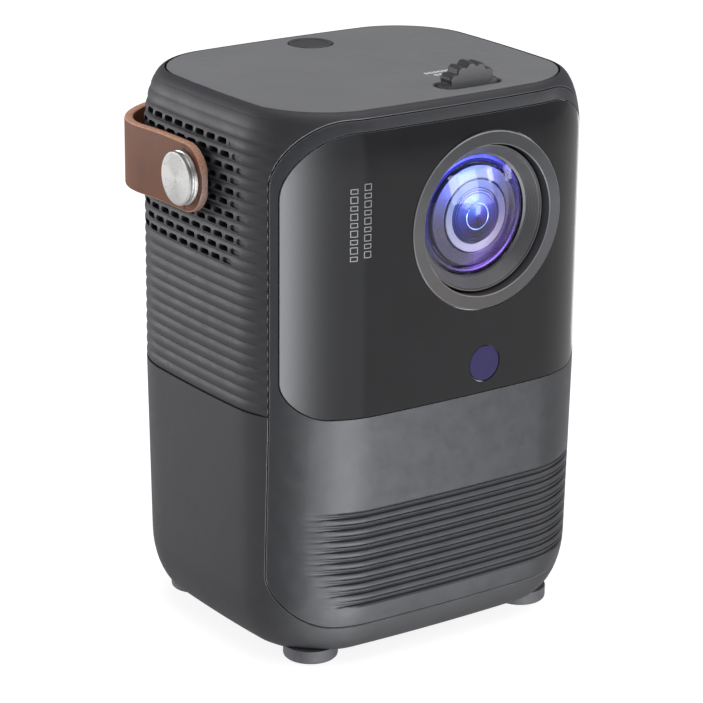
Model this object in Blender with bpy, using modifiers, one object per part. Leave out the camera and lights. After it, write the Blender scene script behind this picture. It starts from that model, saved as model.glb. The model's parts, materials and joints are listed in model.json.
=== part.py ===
"""Portable home projector: a tall rounded box with a curved front, a carrying strap and its light engine.

Metres, +Z up. The front faces -Y and the feet stand on z = 0. Every piece is a separate closed solid.
"""

import math

import bmesh
import bpy
from mathutils import Matrix, Vector

# ---------------------------------------------------------------- driving dimensions

HALF_WIDTH = 0.0675          # body, at the middle of its sides
HALF_DEPTH = 0.0580          # body, at the middle of its front and back
CORNER_RADIUS = 0.0320       # plan corners
SIDE_BULGE = 0.038           # share by which the sides draw in towards their ends
FRONT_BULGE = 0.044          # the same for the front and the back
CORNER_STEPS = 6
SIDE_STEPS = 4

BODY_BOTTOM = 0.0030         # underside of the floor
HOUSING_TOP = 0.1916
COVER_TOP = 0.1922
SEAM_Z = 0.0898              # joint between the upper and the lower housing
TOP_ROUND = (0.0080, 0.0220)     # horizontal and vertical radius of the top edge
BOTTOM_ROUND = (0.0130, 0.0225)  # the same for the bottom edge
DRAFT = 0.0016               # taper of the lower housing
WALL = 0.0025
INNER_TOP = 0.1874
GAP = 0.0003                 # between touching pieces
EPS = 0.001                  # how far a cutter runs past what it cuts

COVER_INSET = 0.0080
COVER_THICKNESS = 0.0023

BEZEL = dict(half=0.0630, bottom=0.0155, top=0.1892, top_radius=0.0220, bottom_radius=0.0180)
PANEL = dict(half=0.0612, bottom=0.0903, top=0.1857, top_radius=0.0220, bottom_radius=0.0120)
PANEL_THICKNESS = 0.0012
FRONT_CUT_BACK = -0.0300     # how far back the front pieces' outlines cut
TOP_SKIN_START = -0.0475     # behind this the housing's own top skin begins

LENS_X = 0.0102
LENS_Z = 0.1500
RING_RADIUS = 0.0302
RING_BORE = 0.0257
RING_FACE_Y = -0.0582
BARREL_RADIUS = 0.0250
GLASS_RADIUS = 0.0209

IR_Z = 0.1004
IR_RADIUS = 0.0061

WHEEL_X = 0.0157
WHEEL_Z = 0.1880
WHEEL_Y = -0.0380
WHEEL_WIDTH = 0.0060
WHEEL_LOBES = 15
GEAR_TEETH = 38
LOBE_HEIGHT = 0.00050        # half the height from valley to crest
MESH_CLEARANCE = 0.00030
WHEEL_SLOT = (0.0246, 0.0106)    # length and width of the slot in the top
AXLE_RADIUS = 0.0015
AXLE_NOTCH = 0.0032          # half width of the notches in the top skin that clear the axle

BUTTON_PLACE = (0.0048, 0.0385)
BUTTON_RADIUS = 0.0077

VENT_PITCH = 0.01300
RIB_PITCH = 0.00396
VENT_SLOT = (0.0106, 0.0023)
FIRST_VENT_RIB = 12
VENT_ROWS = 11
VENT_MIDDLE_Y = 0.00125

STRAP_PIVOT = (-0.0015, 0.1640)  # y and z of the strap's pins
STRAP_WIDTH = 0.0235
STRAP_THICKNESS = 0.0030
STRAP_SIDE_X = 0.0704        # middle of the leather, beside the body
STRAP_CORNER = 0.0360        # bend round the back corners
STRAP_BACK_Y = 0.0621
STRAP_FRONT_Y = -0.0120
STRAP_DROOP = 0.0024
STRAP_END_RADIUS = 0.0104

FOOT_PLACE = (0.0447, 0.0362)
FOOT_RADIUS = 0.00935
FOOT_HEIGHT = 0.0048

ENGINE_X = LENS_X
ENGINE_SIZE = (0.0600, 0.0600)
ENGINE_Y = 0.0080
ENGINE_BOTTOM = 0.0623
ENGINE_TOP = 0.1800
CHASSIS_Z = 0.0600
CHASSIS_THICKNESS = 0.0020

FAN_CENTRE = (0.0530, 0.0030, 0.1580)
FAN_SIZE = 0.0500
FAN_DEPTH = 0.0120

# The origin is the middle of the whole object's footprint, strap and lens ring included.
FRAME_Y = -(STRAP_BACK_Y + STRAP_THICKNESS / 2 + RING_FACE_Y) / 2

# ---------------------------------------------------------------- scene and materials

for old in list(bpy.data.objects):
    bpy.data.objects.remove(old, do_unlink=True)

parts = bpy.data.collections.new("home_projector")
cutters = bpy.data.collections.new("cutters")
bpy.context.scene.collection.children.link(parts)
bpy.context.scene.collection.children.link(cutters)

root = bpy.data.objects.new("projector_root", None)
root.location = (0, FRAME_Y, 0)
parts.objects.link(root)


def material(name, colour, roughness, metallic=0.0):
    """A Principled material, made once for each name."""
    found = bpy.data.materials.get(name)
    if found:
        return found
    made = bpy.data.materials.new(name)
    made.use_nodes = True
    shader = made.node_tree.nodes["Principled BSDF"]
    shader.inputs["Base Color"].default_value = (*colour, 1)
    shader.inputs["Roughness"].default_value = roughness
    shader.inputs["Metallic"].default_value = metallic
    return made


HOUSING = material("housing_plastic", (0.075, 0.077, 0.085), 0.55)
COVER = material("cover_plastic", (0.16, 0.165, 0.175), 0.5)
GLOSS = material("gloss_plastic", (0.02, 0.021, 0.024), 0.12)
SATIN = material("satin_ring", (0.17, 0.16, 0.16), 0.35, 0.6)
BLACK = material("black_plastic", (0.015, 0.015, 0.016), 0.5)
GLASS = material("lens_glass", (0.06, 0.05, 0.16), 0.05)
IR_FILTER = material("ir_filter", (0.05, 0.045, 0.14), 0.2)
LEATHER = material("leather", (0.21, 0.10, 0.065), 0.6)
STEEL = material("steel", (0.62, 0.62, 0.63), 0.3, 1.0)
ALUMINIUM = material("aluminium", (0.55, 0.56, 0.57), 0.4, 1.0)
BRASS = material("brass", (0.70, 0.55, 0.25), 0.35, 1.0)
RUBBER = material("rubber", (0.02, 0.02, 0.022), 0.8)
BOARD = material("circuit_board", (0.02, 0.12, 0.06), 0.5)
PAPER = material("speaker_cone", (0.03, 0.03, 0.03), 0.9)
MIRROR = material("mirror", (0.85, 0.86, 0.88), 0.03, 1.0)
LCD = material("lcd", (0.08, 0.10, 0.12), 0.15)


# ---------------------------------------------------------------- building helpers


def add(name, mesh, surface=None, location=(0, 0, 0), rotation=(0, 0, 0), smooth=True):
    """A new object from a mesh. With no surface it is a cutter, which isn't part of the model."""
    if smooth:
        mesh.shade_smooth()
        mesh.set_sharp_from_angle(angle=math.radians(32))
    obj = bpy.data.objects.new(name, mesh)
    obj.parent = root
    obj.location = location
    obj.rotation_euler = rotation
    if surface is None:
        cutters.objects.link(obj)
        obj.hide_render = True
        obj.display_type = "WIRE"
    else:
        parts.objects.link(obj)
        mesh.materials.clear()
        mesh.materials.append(surface)
    return obj


def evaluated_mesh(obj):
    """The mesh of an object with its modifiers applied; the object is then removed."""
    bpy.context.view_layer.update()
    graph = bpy.context.evaluated_depsgraph_get()
    mesh = bpy.data.meshes.new_from_object(obj.evaluated_get(graph))
    bpy.data.objects.remove(obj, do_unlink=True)
    return mesh


def mesh_from(build):
    """A mesh made by a function that fills a bmesh."""
    work = bmesh.new()
    build(work)
    mesh = bpy.data.meshes.new("shape")
    work.to_mesh(mesh)
    work.free()
    return mesh


def box_mesh(boxes):
    """One mesh of separate boxes, each given by its lowest and highest corner."""

    def build(work):
        for low, high in boxes:
            size = [b - a for a, b in zip(low, high)]
            middle = [(a + b) / 2 for a, b in zip(low, high)]
            made = bmesh.ops.create_cube(work, size=1)
            bmesh.ops.scale(work, vec=size, verts=made["verts"])
            bmesh.ops.translate(work, vec=middle, verts=made["verts"])

    return mesh_from(build)


def box(name, low, high, surface=None):
    return add(name, box_mesh([(low, high)]), surface, smooth=False)


def turned_mesh(profile, steps):
    """A profile of (radius, height) points turned once round Z. It may start and end on the axis."""
    around = sum(
        (b[0] - a[0]) * (b[1] + a[1]) for a, b in zip(profile, profile[1:] + profile[:1])
    )
    ordered = profile if around > 0 else profile[::-1]
    closed = min(r for r, _ in profile) > 0

    def build(work):
        points = [work.verts.new((r, 0, h)) for r, h in ordered]
        for a, b in zip(points, points[1:]):
            work.edges.new((a, b))
        if closed:
            work.edges.new((points[-1], points[0]))

    obj = bpy.data.objects.new("profile", mesh_from(build))
    bpy.context.scene.collection.objects.link(obj)
    screw = obj.modifiers.new("turn", "SCREW")
    screw.steps = steps
    screw.render_steps = steps
    screw.use_merge_vertices = True
    screw.merge_threshold = 0.00001
    return evaluated_mesh(obj)


FACING = {
    "up": (0, 0, 0),
    "down": (math.pi, 0, 0),
    "front": (math.pi / 2, 0, 0),
    "back": (-math.pi / 2, 0, 0),
    "right": (0, math.pi / 2, 0),
    "left": (0, -math.pi / 2, 0),
}


def turned(name, profile, place, facing="up", surface=None, steps=32):
    """A turned piece whose local +Z, along which heights run, points the way it faces."""
    return add(name, turned_mesh(profile, steps), surface, place, FACING[facing])


def disc(radius, low, high):
    """Profile of a plain cylinder."""
    return [(0, high), (radius, high), (radius, low), (0, low)]


def ring(outer, inner, low, high):
    """Profile of a plain tube."""
    return [(outer, high), (outer, low), (inner, low), (inner, high)]


def outline_mesh(points, low, high):
    """A flat outline filled and made thick, between two heights."""
    curve = bpy.data.curves.new("outline", "CURVE")
    curve.dimensions = "2D"
    curve.fill_mode = "BOTH"
    curve.extrude = (high - low) / 2
    spline = curve.splines.new("POLY")
    spline.points.add(len(points) - 1)
    for point, (x, y) in zip(spline.points, points):
        point.co = (x, y, 0, 1)
    spline.use_cyclic_u = True
    obj = bpy.data.objects.new("outline", curve)
    bpy.context.scene.collection.objects.link(obj)
    mesh = evaluated_mesh(obj)
    work = bmesh.new()
    work.from_mesh(mesh)
    bmesh.ops.remove_doubles(work, verts=work.verts, dist=0.000001)
    bmesh.ops.translate(work, vec=(0, 0, (low + high) / 2), verts=work.verts)
    bmesh.ops.recalc_face_normals(work, faces=work.faces)
    work.to_mesh(mesh)
    work.free()
    return mesh


def arc(x, y, radius, start, end, steps):
    """Points of an arc, with its angles in degrees."""
    angles = [math.radians(start + (end - start) * i / steps) for i in range(steps + 1)]
    return [(x + radius * math.cos(a), y + radius * math.sin(a)) for a in angles]


def rounded_rectangle(half_x, low_y, high_y, top_radius, bottom_radius, steps=7):
    """Points of a rounded rectangle, centred in x."""
    top = high_y - top_radius
    bottom = low_y + bottom_radius
    return (
        arc(half_x - top_radius, top, top_radius, 0, 90, steps)
        + arc(-half_x + top_radius, top, top_radius, 90, 180, steps)
        + arc(-half_x + bottom_radius, bottom, bottom_radius, 180, 270, steps)
        + arc(half_x - bottom_radius, bottom, bottom_radius, 270, 360, steps)
    )


def boolean(obj, other, operation="DIFFERENCE"):
    """Cuts obj with another object, or joins or intersects them."""
    modifier = obj.modifiers.new(other.name, "BOOLEAN")
    modifier.operation = operation
    modifier.solver = "EXACT"
    modifier.object = other
    return obj


def loft_mesh(rings):
    """A closed solid through rings of equally many points, from the lowest ring up."""

    def build(work):
        rows = [[work.verts.new(point) for point in row] for row in rings]
        for low, high in zip(rows, rows[1:]):
            for i, vertex in enumerate(low):
                following = (i + 1) % len(low)
                work.faces.new((vertex, low[following], high[following], high[i]))
        work.faces.new(rows[0][::-1])
        work.faces.new(rows[-1])

    return mesh_from(build)


# ---------------------------------------------------------------- the body's outer form


def plan_outline(inset):
    """The body's plan outline, drawn in by inset: a rounded rectangle with gently bulging sides."""
    a = HALF_WIDTH - inset
    b = HALF_DEPTH - inset
    r = max(CORNER_RADIUS - inset, 0.004)
    corners = ((a - r, b - r), (r - a, b - r), (r - a, r - b), (a - r, r - b))
    points = []
    for quarter, (x, y) in enumerate(corners):
        points += arc(x, y, r, 90 * quarter, 90 * quarter + 90, CORNER_STEPS)
        end = Vector(points[-1])
        turn = math.radians(90 * quarter + 90)
        after = corners[(quarter + 1) % 4]
        start = Vector((after[0] + r * math.cos(turn), after[1] + r * math.sin(turn)))
        points += [tuple(end.lerp(start, i / SIDE_STEPS)) for i in range(1, SIDE_STEPS)]
    return [
        (x * (1 - SIDE_BULGE * (y / b) ** 2), y * (1 - FRONT_BULGE * (x / a) ** 2))
        for x, y in points
    ]


def wall_inset(z):
    """How far the outer wall is drawn in at a height, by the rounded edges and the taper."""
    inset = 0.0
    if z < SEAM_Z:
        inset += DRAFT * (SEAM_Z - z) / (SEAM_Z - BODY_BOTTOM)
    across, up = TOP_ROUND
    share = max(0.0, (z - HOUSING_TOP + up) / up)
    inset += across * (1 - math.sqrt(max(0.0, 1 - share * share)))
    across, up = BOTTOM_ROUND
    share = max(0.0, (BODY_BOTTOM + up - z) / up)
    inset += across * (1 - math.sqrt(max(0.0, 1 - share * share)))
    return inset


def round_heights(z, reach, steps):
    """Heights through a rounded edge that ends at z, at equal turns."""
    return [z - reach * (1 - math.sin(math.pi / 2 * i / steps)) for i in range(steps + 1)]


def body_mesh(inset, low, high):
    """The body's outer form drawn in by inset, with its own bottom and top height."""
    heights = round_heights(BODY_BOTTOM, -BOTTOM_ROUND[1], 4)[::-1]
    heights = sorted(heights + [SEAM_Z] + round_heights(HOUSING_TOP, TOP_ROUND[1], 5))
    shrink = (high - low) / (HOUSING_TOP - BODY_BOTTOM)
    rings = []
    for z in heights:
        plan = plan_outline(wall_inset(z) + inset)
        rings.append([(x, y, low + (z - BODY_BOTTOM) * shrink) for x, y in plan])
    return loft_mesh(rings)


def front_prism(name, shape, grow, back=FRONT_CUT_BACK):
    """A block through the front of the body, with the outline of a front piece grown by a gap.

    Under the body's top it stops short, so that the top skin behind the front edge stays with the housing.
    """
    points = rounded_rectangle(
        shape["half"] + grow,
        shape["bottom"] - grow,
        shape["top"] + grow,
        shape["top_radius"] + grow,
        shape["bottom_radius"] + grow,
    )
    mesh = outline_mesh(points, -back, HALF_DEPTH + 0.010)
    prism = add(name, mesh, None, (0, 0, 0), FACING["front"], smooth=False)
    half, start, low = 0.0495, TOP_SKIN_START, 0.1800
    relief = box(f"{name}_relief", (-half, start + grow, low), (half, back + EPS, 0.2100))
    return boolean(prism, relief)


def front_hole(name, x, z, radius, steps=40):
    """A round cutter through the front of the body."""
    return turned(name, disc(radius, -FRONT_CUT_BACK, HALF_DEPTH + 0.01), (x, 0, z), "front", None, steps)


outer_form = add("outer_form", body_mesh(0.0001, BODY_BOTTOM, HOUSING_TOP))
inner_form = add("inner_form", body_mesh(WALL, BODY_BOTTOM + WALL, INNER_TOP))
pocket_form = add("pocket_form", body_mesh(PANEL_THICKNESS + GAP, BODY_BOTTOM, HOUSING_TOP))
panel_back_form = add("panel_back_form", body_mesh(PANEL_THICKNESS, BODY_BOTTOM, HOUSING_TOP))
bezel_prism = front_prism("bezel_prism", BEZEL, 0)
bezel_opening = front_prism("bezel_opening", BEZEL, GAP)
panel_prism = front_prism("panel_prism", PANEL, 0)
ring_hole = front_hole("ring_hole", LENS_X, LENS_Z, RING_RADIUS + GAP)
lens_hole = front_hole("lens_hole", LENS_X, LENS_Z, RING_RADIUS - 0.0017)
ir_hole = front_hole("ir_hole", LENS_X, IR_Z, IR_RADIUS + GAP, 24)
ir_inner_hole = front_hole("ir_inner_hole", LENS_X, IR_Z, IR_RADIUS - 0.0015, 24)


def cover_outline(inset):
    return plan_outline(COVER_INSET + inset)


def wheel_slot(name, grow):
    """The slot in the top that the focus wheel stands out of."""
    length, width = WHEEL_SLOT
    half = width / 2 + grow
    points = rounded_rectangle(length / 2 + grow, -half, half, half * 0.8, half * 0.8, 4)
    mesh = outline_mesh(points, INNER_TOP - EPS, COVER_TOP + EPS)
    return add(name, mesh, None, (WHEEL_X, WHEEL_Y, 0), smooth=False)


# ---------------------------------------------------------------- housings and covers


def vent_slots():
    """Cutters for the staggered vent slots of both sides, one row on each rib."""
    length, height = VENT_SLOT
    boxes = []
    for row in range(VENT_ROWS):
        z = SEAM_Z + RIB_PITCH * (FIRST_VENT_RIB + row + 0.5)
        count = 5 - row % 2
        for i in range(count):
            y = VENT_MIDDLE_Y + VENT_PITCH * (i - (count - 1) / 2)
            for side in (-1, 1):
                near, far = sorted((side * (HALF_WIDTH - 0.008), side * (HALF_WIDTH + 0.004)))
                low = (near, y - length / 2, z - height / 2)
                boxes.append((low, (far, y + length / 2, z + height / 2)))
    return add("vent_slots", box_mesh(boxes), smooth=False)


def strap_pin_holes():
    """One bar through both sides of the housing, where the strap's pins go."""
    y, z = STRAP_PIVOT
    reach = HALF_WIDTH + 0.01
    return turned("strap_pin_holes", disc(0.0033, -reach, reach), (0, y, z), "right", None, 24)


def upper_housing():
    shell = add("upper_housing", body_mesh(0, BODY_BOTTOM, HOUSING_TOP), HOUSING)
    boolean(shell, inner_form)
    below = box("below_seam", (-0.1, -0.1, -0.01), (0.1, 0.1, SEAM_Z + GAP / 2))
    boolean(shell, below)
    boolean(shell, bezel_opening)
    floor = HOUSING_TOP - COVER_THICKNESS + GAP
    mesh = outline_mesh(cover_outline(-GAP), floor, COVER_TOP + EPS)
    boolean(shell, add("cover_pocket", mesh, smooth=False))
    boolean(shell, wheel_slot("housing_wheel_slot", 0))
    notch = box("axle_notch", (WHEEL_X - AXLE_NOTCH, -0.0455, INNER_TOP - EPS),
                (WHEEL_X + AXLE_NOTCH, -0.0305, COVER_TOP + EPS))
    boolean(shell, notch)
    stem = disc(0.0032, INNER_TOP - EPS, COVER_TOP)
    boolean(shell, turned("button_stem_hole", stem, (*BUTTON_PLACE, 0), steps=20))
    boolean(shell, vent_slots())
    boolean(shell, strap_pin_holes())
    return shell


def foot_places():
    x, y = FOOT_PLACE
    return {
        "front_left": (-x, -y),
        "front_right": (x, -y),
        "back_left": (-x, y),
        "back_right": (x, y),
    }


PORT_PLATE = dict(half=0.0330, low=0.0300, high=0.0560, front_y=0.0572, thickness=0.0016)
TRIPOD_Y = 0.0
COLUMN_PLACE = (0.0460, 0.0300)


def lower_housing():
    shell = add("lower_housing", body_mesh(0, BODY_BOTTOM, HOUSING_TOP), HOUSING)
    boolean(shell, inner_form)
    boolean(shell, box("above_seam", (-0.1, -0.1, SEAM_Z - GAP / 2), (0.1, 0.1, 0.25)))
    boolean(shell, bezel_opening)
    for corner, (x, y) in foot_places().items():
        boss = turned(f"foot_boss_{corner}", disc(0.0118, 0.0042, 0.0078), (x, y, 0), steps=16)
        boolean(boss, outer_form, "INTERSECT")
        boolean(shell, boss, "UNION")
    for corner, (x, y) in foot_places().items():
        pocket = disc(FOOT_RADIUS + GAP, -EPS, FOOT_HEIGHT + GAP)
        boolean(shell, turned(f"foot_pocket_{corner}", pocket, (x, y, 0), steps=20))
        pilot = disc(0.0018, 0, 0.0100)
        boolean(shell, turned(f"foot_pilot_{corner}", pilot, (x, y, 0), steps=8))
    x, y = COLUMN_PLACE
    for sx in (-1, 1):
        for sy in (-1, 1):
            column = disc(0.0040, 0.0070, CHASSIS_Z - GAP)
            name = f"column_{sx + 1}{sy + 1}"
            boolean(shell, turned(name, column, (sx * x, sy * y, 0), steps=8), "UNION")
    plate = PORT_PLATE
    middle = (plate["low"] + plate["high"]) / 2
    half_height = (plate["high"] - plate["low"]) / 2 + GAP
    points = rounded_rectangle(plate["half"] + GAP, -half_height, half_height, 0.0040, 0.0040, 4)
    mesh = outline_mesh(points, HALF_DEPTH - 0.010, HALF_DEPTH + 0.004)
    boolean(shell, add("port_opening", mesh, None, (0, 0, middle), FACING["back"], smooth=False))
    socket = disc(0.0055 + GAP, 0, 0.010)
    boolean(shell, turned("tripod_hole", socket, (0, TRIPOD_Y, 0), steps=16))
    slots = []
    for i in range(5):
        y = -0.0400 + 0.0045 * i
        slots.append(((-0.0180, y - 0.0010, 0), (0.0180, y + 0.0010, 0.0080)))
    boolean(shell, add("speaker_slots", box_mesh(slots), smooth=False))
    return shell


def front_bezel():
    bezel = add("front_bezel", body_mesh(0, BODY_BOTTOM, HOUSING_TOP), HOUSING)
    boolean(bezel, bezel_prism, "INTERSECT")
    boolean(bezel, inner_form)
    pocket = front_prism("panel_pocket", PANEL, GAP)
    boolean(pocket, pocket_form)
    boolean(bezel, pocket)
    boolean(bezel, lens_hole)
    boolean(bezel, ir_inner_hole)
    return bezel


def front_panel():
    panel = add("front_panel", body_mesh(0, BODY_BOTTOM, HOUSING_TOP), GLOSS)
    boolean(panel, panel_prism, "INTERSECT")
    boolean(panel, panel_back_form)
    boolean(panel, ring_hole)
    boolean(panel, ir_hole)
    return panel


def top_cover():
    mesh = outline_mesh(cover_outline(0), COVER_TOP - COVER_THICKNESS, COVER_TOP)
    cover = add("top_cover", mesh, COVER, smooth=False)
    edge = cover.modifiers.new("edge", "BEVEL")
    edge.width = 0.0004
    edge.segments = 1
    edge.limit_method = "ANGLE"
    edge.angle_limit = math.radians(60)
    boolean(cover, wheel_slot("cover_wheel_slot", 0))
    hole = disc(BUTTON_RADIUS + GAP, INNER_TOP, COVER_TOP + EPS)
    boolean(cover, turned("button_hole", hole, (*BUTTON_PLACE, 0), steps=32))
    return cover


def feet_and_screws():
    for corner, (x, y) in foot_places().items():
        profile = [
            (0.0016, FOOT_HEIGHT),
            (FOOT_RADIUS, FOOT_HEIGHT),
            (FOOT_RADIUS, 0.0006),
            (FOOT_RADIUS - 0.0006, 0),
            (0.0044, 0),
            (0.0040, 0.0026),
            (0.0016, 0.0026),
        ]
        turned(f"foot_{corner}", profile, (x, y, 0), surface=RUBBER, steps=20)
        screw = [
            (0, 0.0075),
            (0.0013, 0.0075),
            (0.0013, 0.0023),
            (0.0034, 0.0023),
            (0.0034, 0.0010),
            (0.0012, 0.0010),
            (0.0012, 0.0016),
            (0, 0.0016),
        ]
        turned(f"foot_screw_{corner}", screw, (x, y, 0), surface=STEEL, steps=8)


def tripod_insert():
    face = BODY_BOTTOM + 0.0001
    profile = [(0, 0.0112), (0.0055, 0.0112), (0.0055, face), (0.0032, face), (0.0032, 0.0100), (0, 0.0100)]
    return turned("tripod_insert", profile, (0, TRIPOD_Y, 0), surface=BRASS, steps=16)


# ---------------------------------------------------------------- lens and focus drive

FRONT_SURFACE_Y = -HALF_DEPTH


def forward(y):
    """Height along a forward-facing turned piece, for a y in the body's frame."""
    return -y


def lens_trim_ring():
    back = forward(RING_FACE_Y + 0.0013)
    flange = RING_RADIUS - 0.0020
    profile = [
        (RING_RADIUS - 0.0003, forward(RING_FACE_Y)),
        (RING_RADIUS, forward(RING_FACE_Y + 0.0003)),
        (RING_RADIUS, back),
        (flange, back),
        (flange, forward(-0.0500)),
        (RING_BORE, forward(-0.0500)),
        (RING_BORE, forward(RING_FACE_Y + 0.0006)),
    ]
    return turned("lens_trim_ring", profile, (LENS_X, 0, LENS_Z), "front", SATIN, 40)


def lens_barrel():
    """Focus barrel: ridged conical mouth, pocket for the front element, then a narrower tube."""
    profile = [
        (BARREL_RADIUS, forward(-0.0550)),
        (BARREL_RADIUS, forward(-0.0180)),
        (0.0172, forward(-0.0180)),
        (0.0172, forward(-0.0400)),
        (GLASS_RADIUS + GAP, forward(-0.0430)),
        (GLASS_RADIUS + GAP, forward(-0.0499)),
        (GLASS_RADIUS - 0.0005, forward(-0.0503)),
        (0.0243, forward(-0.0550)),
    ]
    return turned("lens_barrel", profile, (LENS_X, 0, LENS_Z), "front", BLACK, 32)


def element(name, radius, front_y, back_y, front_rise, back_rise, steps=16):
    """A lens element with domed faces; a rise is how far its middle stands out from its edge."""
    rings = 3
    profile = []
    for i in range(rings + 1):
        share = i / rings
        profile.append((radius * share, forward(front_y) + front_rise * (1 - share * share)))
    for i in range(rings + 1):
        share = 1 - i / rings
        profile.append((radius * share, forward(back_y) - back_rise * (1 - share * share)))
    return turned(name, profile, (LENS_X, 0, LENS_Z), "front", GLASS, steps)


def lobed_outline(pitch_radius, lobes, phase, per_lobe):
    """A wavy wheel outline that rolls on another of the same wave."""
    count = lobes * per_lobe
    points = []
    for i in range(count):
        angle = 2 * math.pi * i / count
        radius = pitch_radius + LOBE_HEIGHT * math.cos(lobes * (angle - phase))
        points.append((radius * math.cos(angle), radius * math.sin(angle)))
    return points


CENTRE_DISTANCE = math.hypot(WHEEL_X - LENS_X, WHEEL_Z - LENS_Z)
WHEEL_PITCH = CENTRE_DISTANCE * WHEEL_LOBES / (WHEEL_LOBES + GEAR_TEETH)
GEAR_PITCH = CENTRE_DISTANCE - WHEEL_PITCH


def focus_pair():
    """The focus wheel and the toothed ring on the barrel, in mesh on their line of centres."""
    # Seen from the front, local x is the body's x and local y is the body's z.
    towards_wheel = math.atan2(WHEEL_Z - LENS_Z, WHEEL_X - LENS_X)
    towards_ring = towards_wheel + math.pi
    half = WHEEL_WIDTH / 2

    points = lobed_outline(WHEEL_PITCH - MESH_CLEARANCE / 2, WHEEL_LOBES, towards_ring, 6)
    place = (WHEEL_X, WHEEL_Y, WHEEL_Z)
    wheel = add("focus_wheel", outline_mesh(points, -half, half), BLACK, place, FACING["front"])
    bore = turned("wheel_bore", disc(AXLE_RADIUS + GAP, -0.01, 0.01), place, "front", None, 12)
    boolean(wheel, bore)

    valley = towards_wheel + math.pi / GEAR_TEETH
    points = lobed_outline(GEAR_PITCH - MESH_CLEARANCE / 2, GEAR_TEETH, valley, 4)
    place = (LENS_X, WHEEL_Y, LENS_Z)
    gear = add("focus_gear_ring", outline_mesh(points, -half, half), BLACK, place, FACING["front"])
    bore = turned("gear_bore", disc(BARREL_RADIUS + GAP, -0.01, 0.01), place, "front", None, 32)
    boolean(gear, bore)

    place = (WHEEL_X, 0, WHEEL_Z)
    pin = disc(AXLE_RADIUS, forward(-0.0318), forward(-0.0442))
    turned("focus_wheel_axle", pin, place, "front", STEEL, 12)


def focus_bracket():
    """Two ears under the housing's top with open seats for the wheel's axle; the top cover keeps it in."""
    rear = (-0.0345, -0.0320)
    front = (-0.0440, -0.0415)
    low = 0.1800
    high = INNER_TOP - GAP
    left = WHEEL_X - 0.0150
    right = WHEEL_X + 0.0150
    seat = AXLE_NOTCH - 0.0004
    bracket = box("focus_bracket", (left, front[0], low), (right, front[1], high), STEEL)
    pieces = {
        "bracket_rear_ear": ((left, rear[0], low), (right, rear[1], high)),
        "bracket_left_rail": ((left, front[0], low), (left + 0.0016, rear[1], high)),
        "bracket_right_rail": ((right - 0.0016, front[0], low), (right, rear[1], high)),
        "bracket_front_seat": ((WHEEL_X - seat, front[0], low), (WHEEL_X + seat, front[1], WHEEL_Z)),
        "bracket_rear_seat": ((WHEEL_X - seat, rear[0], low), (WHEEL_X + seat, rear[1], WHEEL_Z)),
    }
    for name, (corner, other) in pieces.items():
        boolean(bracket, box(name, corner, other), "UNION")
    seats = disc(AXLE_RADIUS + GAP, forward(-0.0300), forward(-0.0460))
    boolean(bracket, turned("axle_seats", seats, (WHEEL_X, 0, WHEEL_Z), "front", None, 12))
    return bracket


def lens_holder():
    """Tube and flange on the light engine that the barrel slides in."""
    flange_back = ENGINE_Y - ENGINE_SIZE[1] / 2 - GAP
    profile = [
        (0.0280, forward(-0.0344)),
        (0.0280, forward(flange_back - 0.0025)),
        (0.0292, forward(flange_back - 0.0025)),
        (0.0292, forward(flange_back)),
        (BARREL_RADIUS + GAP, forward(flange_back)),
        (BARREL_RADIUS + GAP, forward(-0.0344)),
    ]
    return turned("lens_holder", profile, (LENS_X, 0, LENS_Z), "front", BLACK, 32)


def ir_pieces():
    low = forward(FRONT_SURFACE_Y + PANEL_THICKNESS)
    disc_profile = disc(IR_RADIUS, low, forward(FRONT_SURFACE_Y + 0.0001))
    turned("ir_window", disc_profile, (LENS_X, 0, IR_Z), "front", IR_FILTER, 24)
    board = box("ir_receiver", (LENS_X - 0.008, -0.0500, IR_Z - 0.006),
                (LENS_X + 0.008, -0.0488, IR_Z + 0.006), BOARD)
    sensor = box("ir_sensor", (LENS_X - 0.003, -0.0540, IR_Z - 0.003),
                 (LENS_X + 0.003, -0.0495, IR_Z + 0.003))
    return boolean(board, sensor, "UNION")


# ---------------------------------------------------------------- button


def power_button():
    top = COVER_TOP + 0.0002
    cap_low = HOUSING_TOP - COVER_THICKNESS + GAP + 0.0008
    profile = [
        (0, top),
        (BUTTON_RADIUS - 0.0004, top),
        (BUTTON_RADIUS, top - 0.0004),
        (BUTTON_RADIUS, cap_low),
        (0.0025, cap_low),
        (0.0025, 0.1850),
        (0, 0.1850),
    ]
    turned("power_button", profile, (*BUTTON_PLACE, 0), surface=BLACK, steps=32)
    x, y = BUTTON_PLACE
    board = box("button_board", (x - 0.012, y - 0.008, 0.1806), (x + 0.012, y + 0.008, 0.1818), BOARD)
    switch = box("button_switch", (x - 0.003, y - 0.003, 0.1810), (x + 0.003, y + 0.003, 0.1841))
    boolean(board, switch, "UNION")


# ---------------------------------------------------------------- strap


def strap_path():
    """(x, y) points along the middle of the leather, from its left end round the back to its right end."""
    centre = STRAP_SIDE_X - STRAP_CORNER
    middle = STRAP_BACK_Y - STRAP_CORNER
    end_steps = 6
    left = []
    for i in range(end_steps + 1):
        reach = STRAP_END_RADIUS * (1 - math.cos(math.pi / 2 * i / end_steps))
        left.append((-STRAP_SIDE_X, STRAP_FRONT_Y + reach))
    left += [(-STRAP_SIDE_X, y) for y in (0.0100, 0.0200)]
    left += arc(-centre, middle, STRAP_CORNER, 180, 90, 9)
    left += [(-0.0200, STRAP_BACK_Y)]
    return left + [(-x, y) for x, y in left[::-1]]


def strap_half_width(y):
    """Half the strap's width, less towards its rounded ends."""
    into = min(max((y - STRAP_FRONT_Y) / STRAP_END_RADIUS, 0.02), 1)
    corner = STRAP_END_RADIUS * (1 - math.sqrt(1 - (1 - into) ** 2))
    return STRAP_WIDTH / 2 - corner


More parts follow.
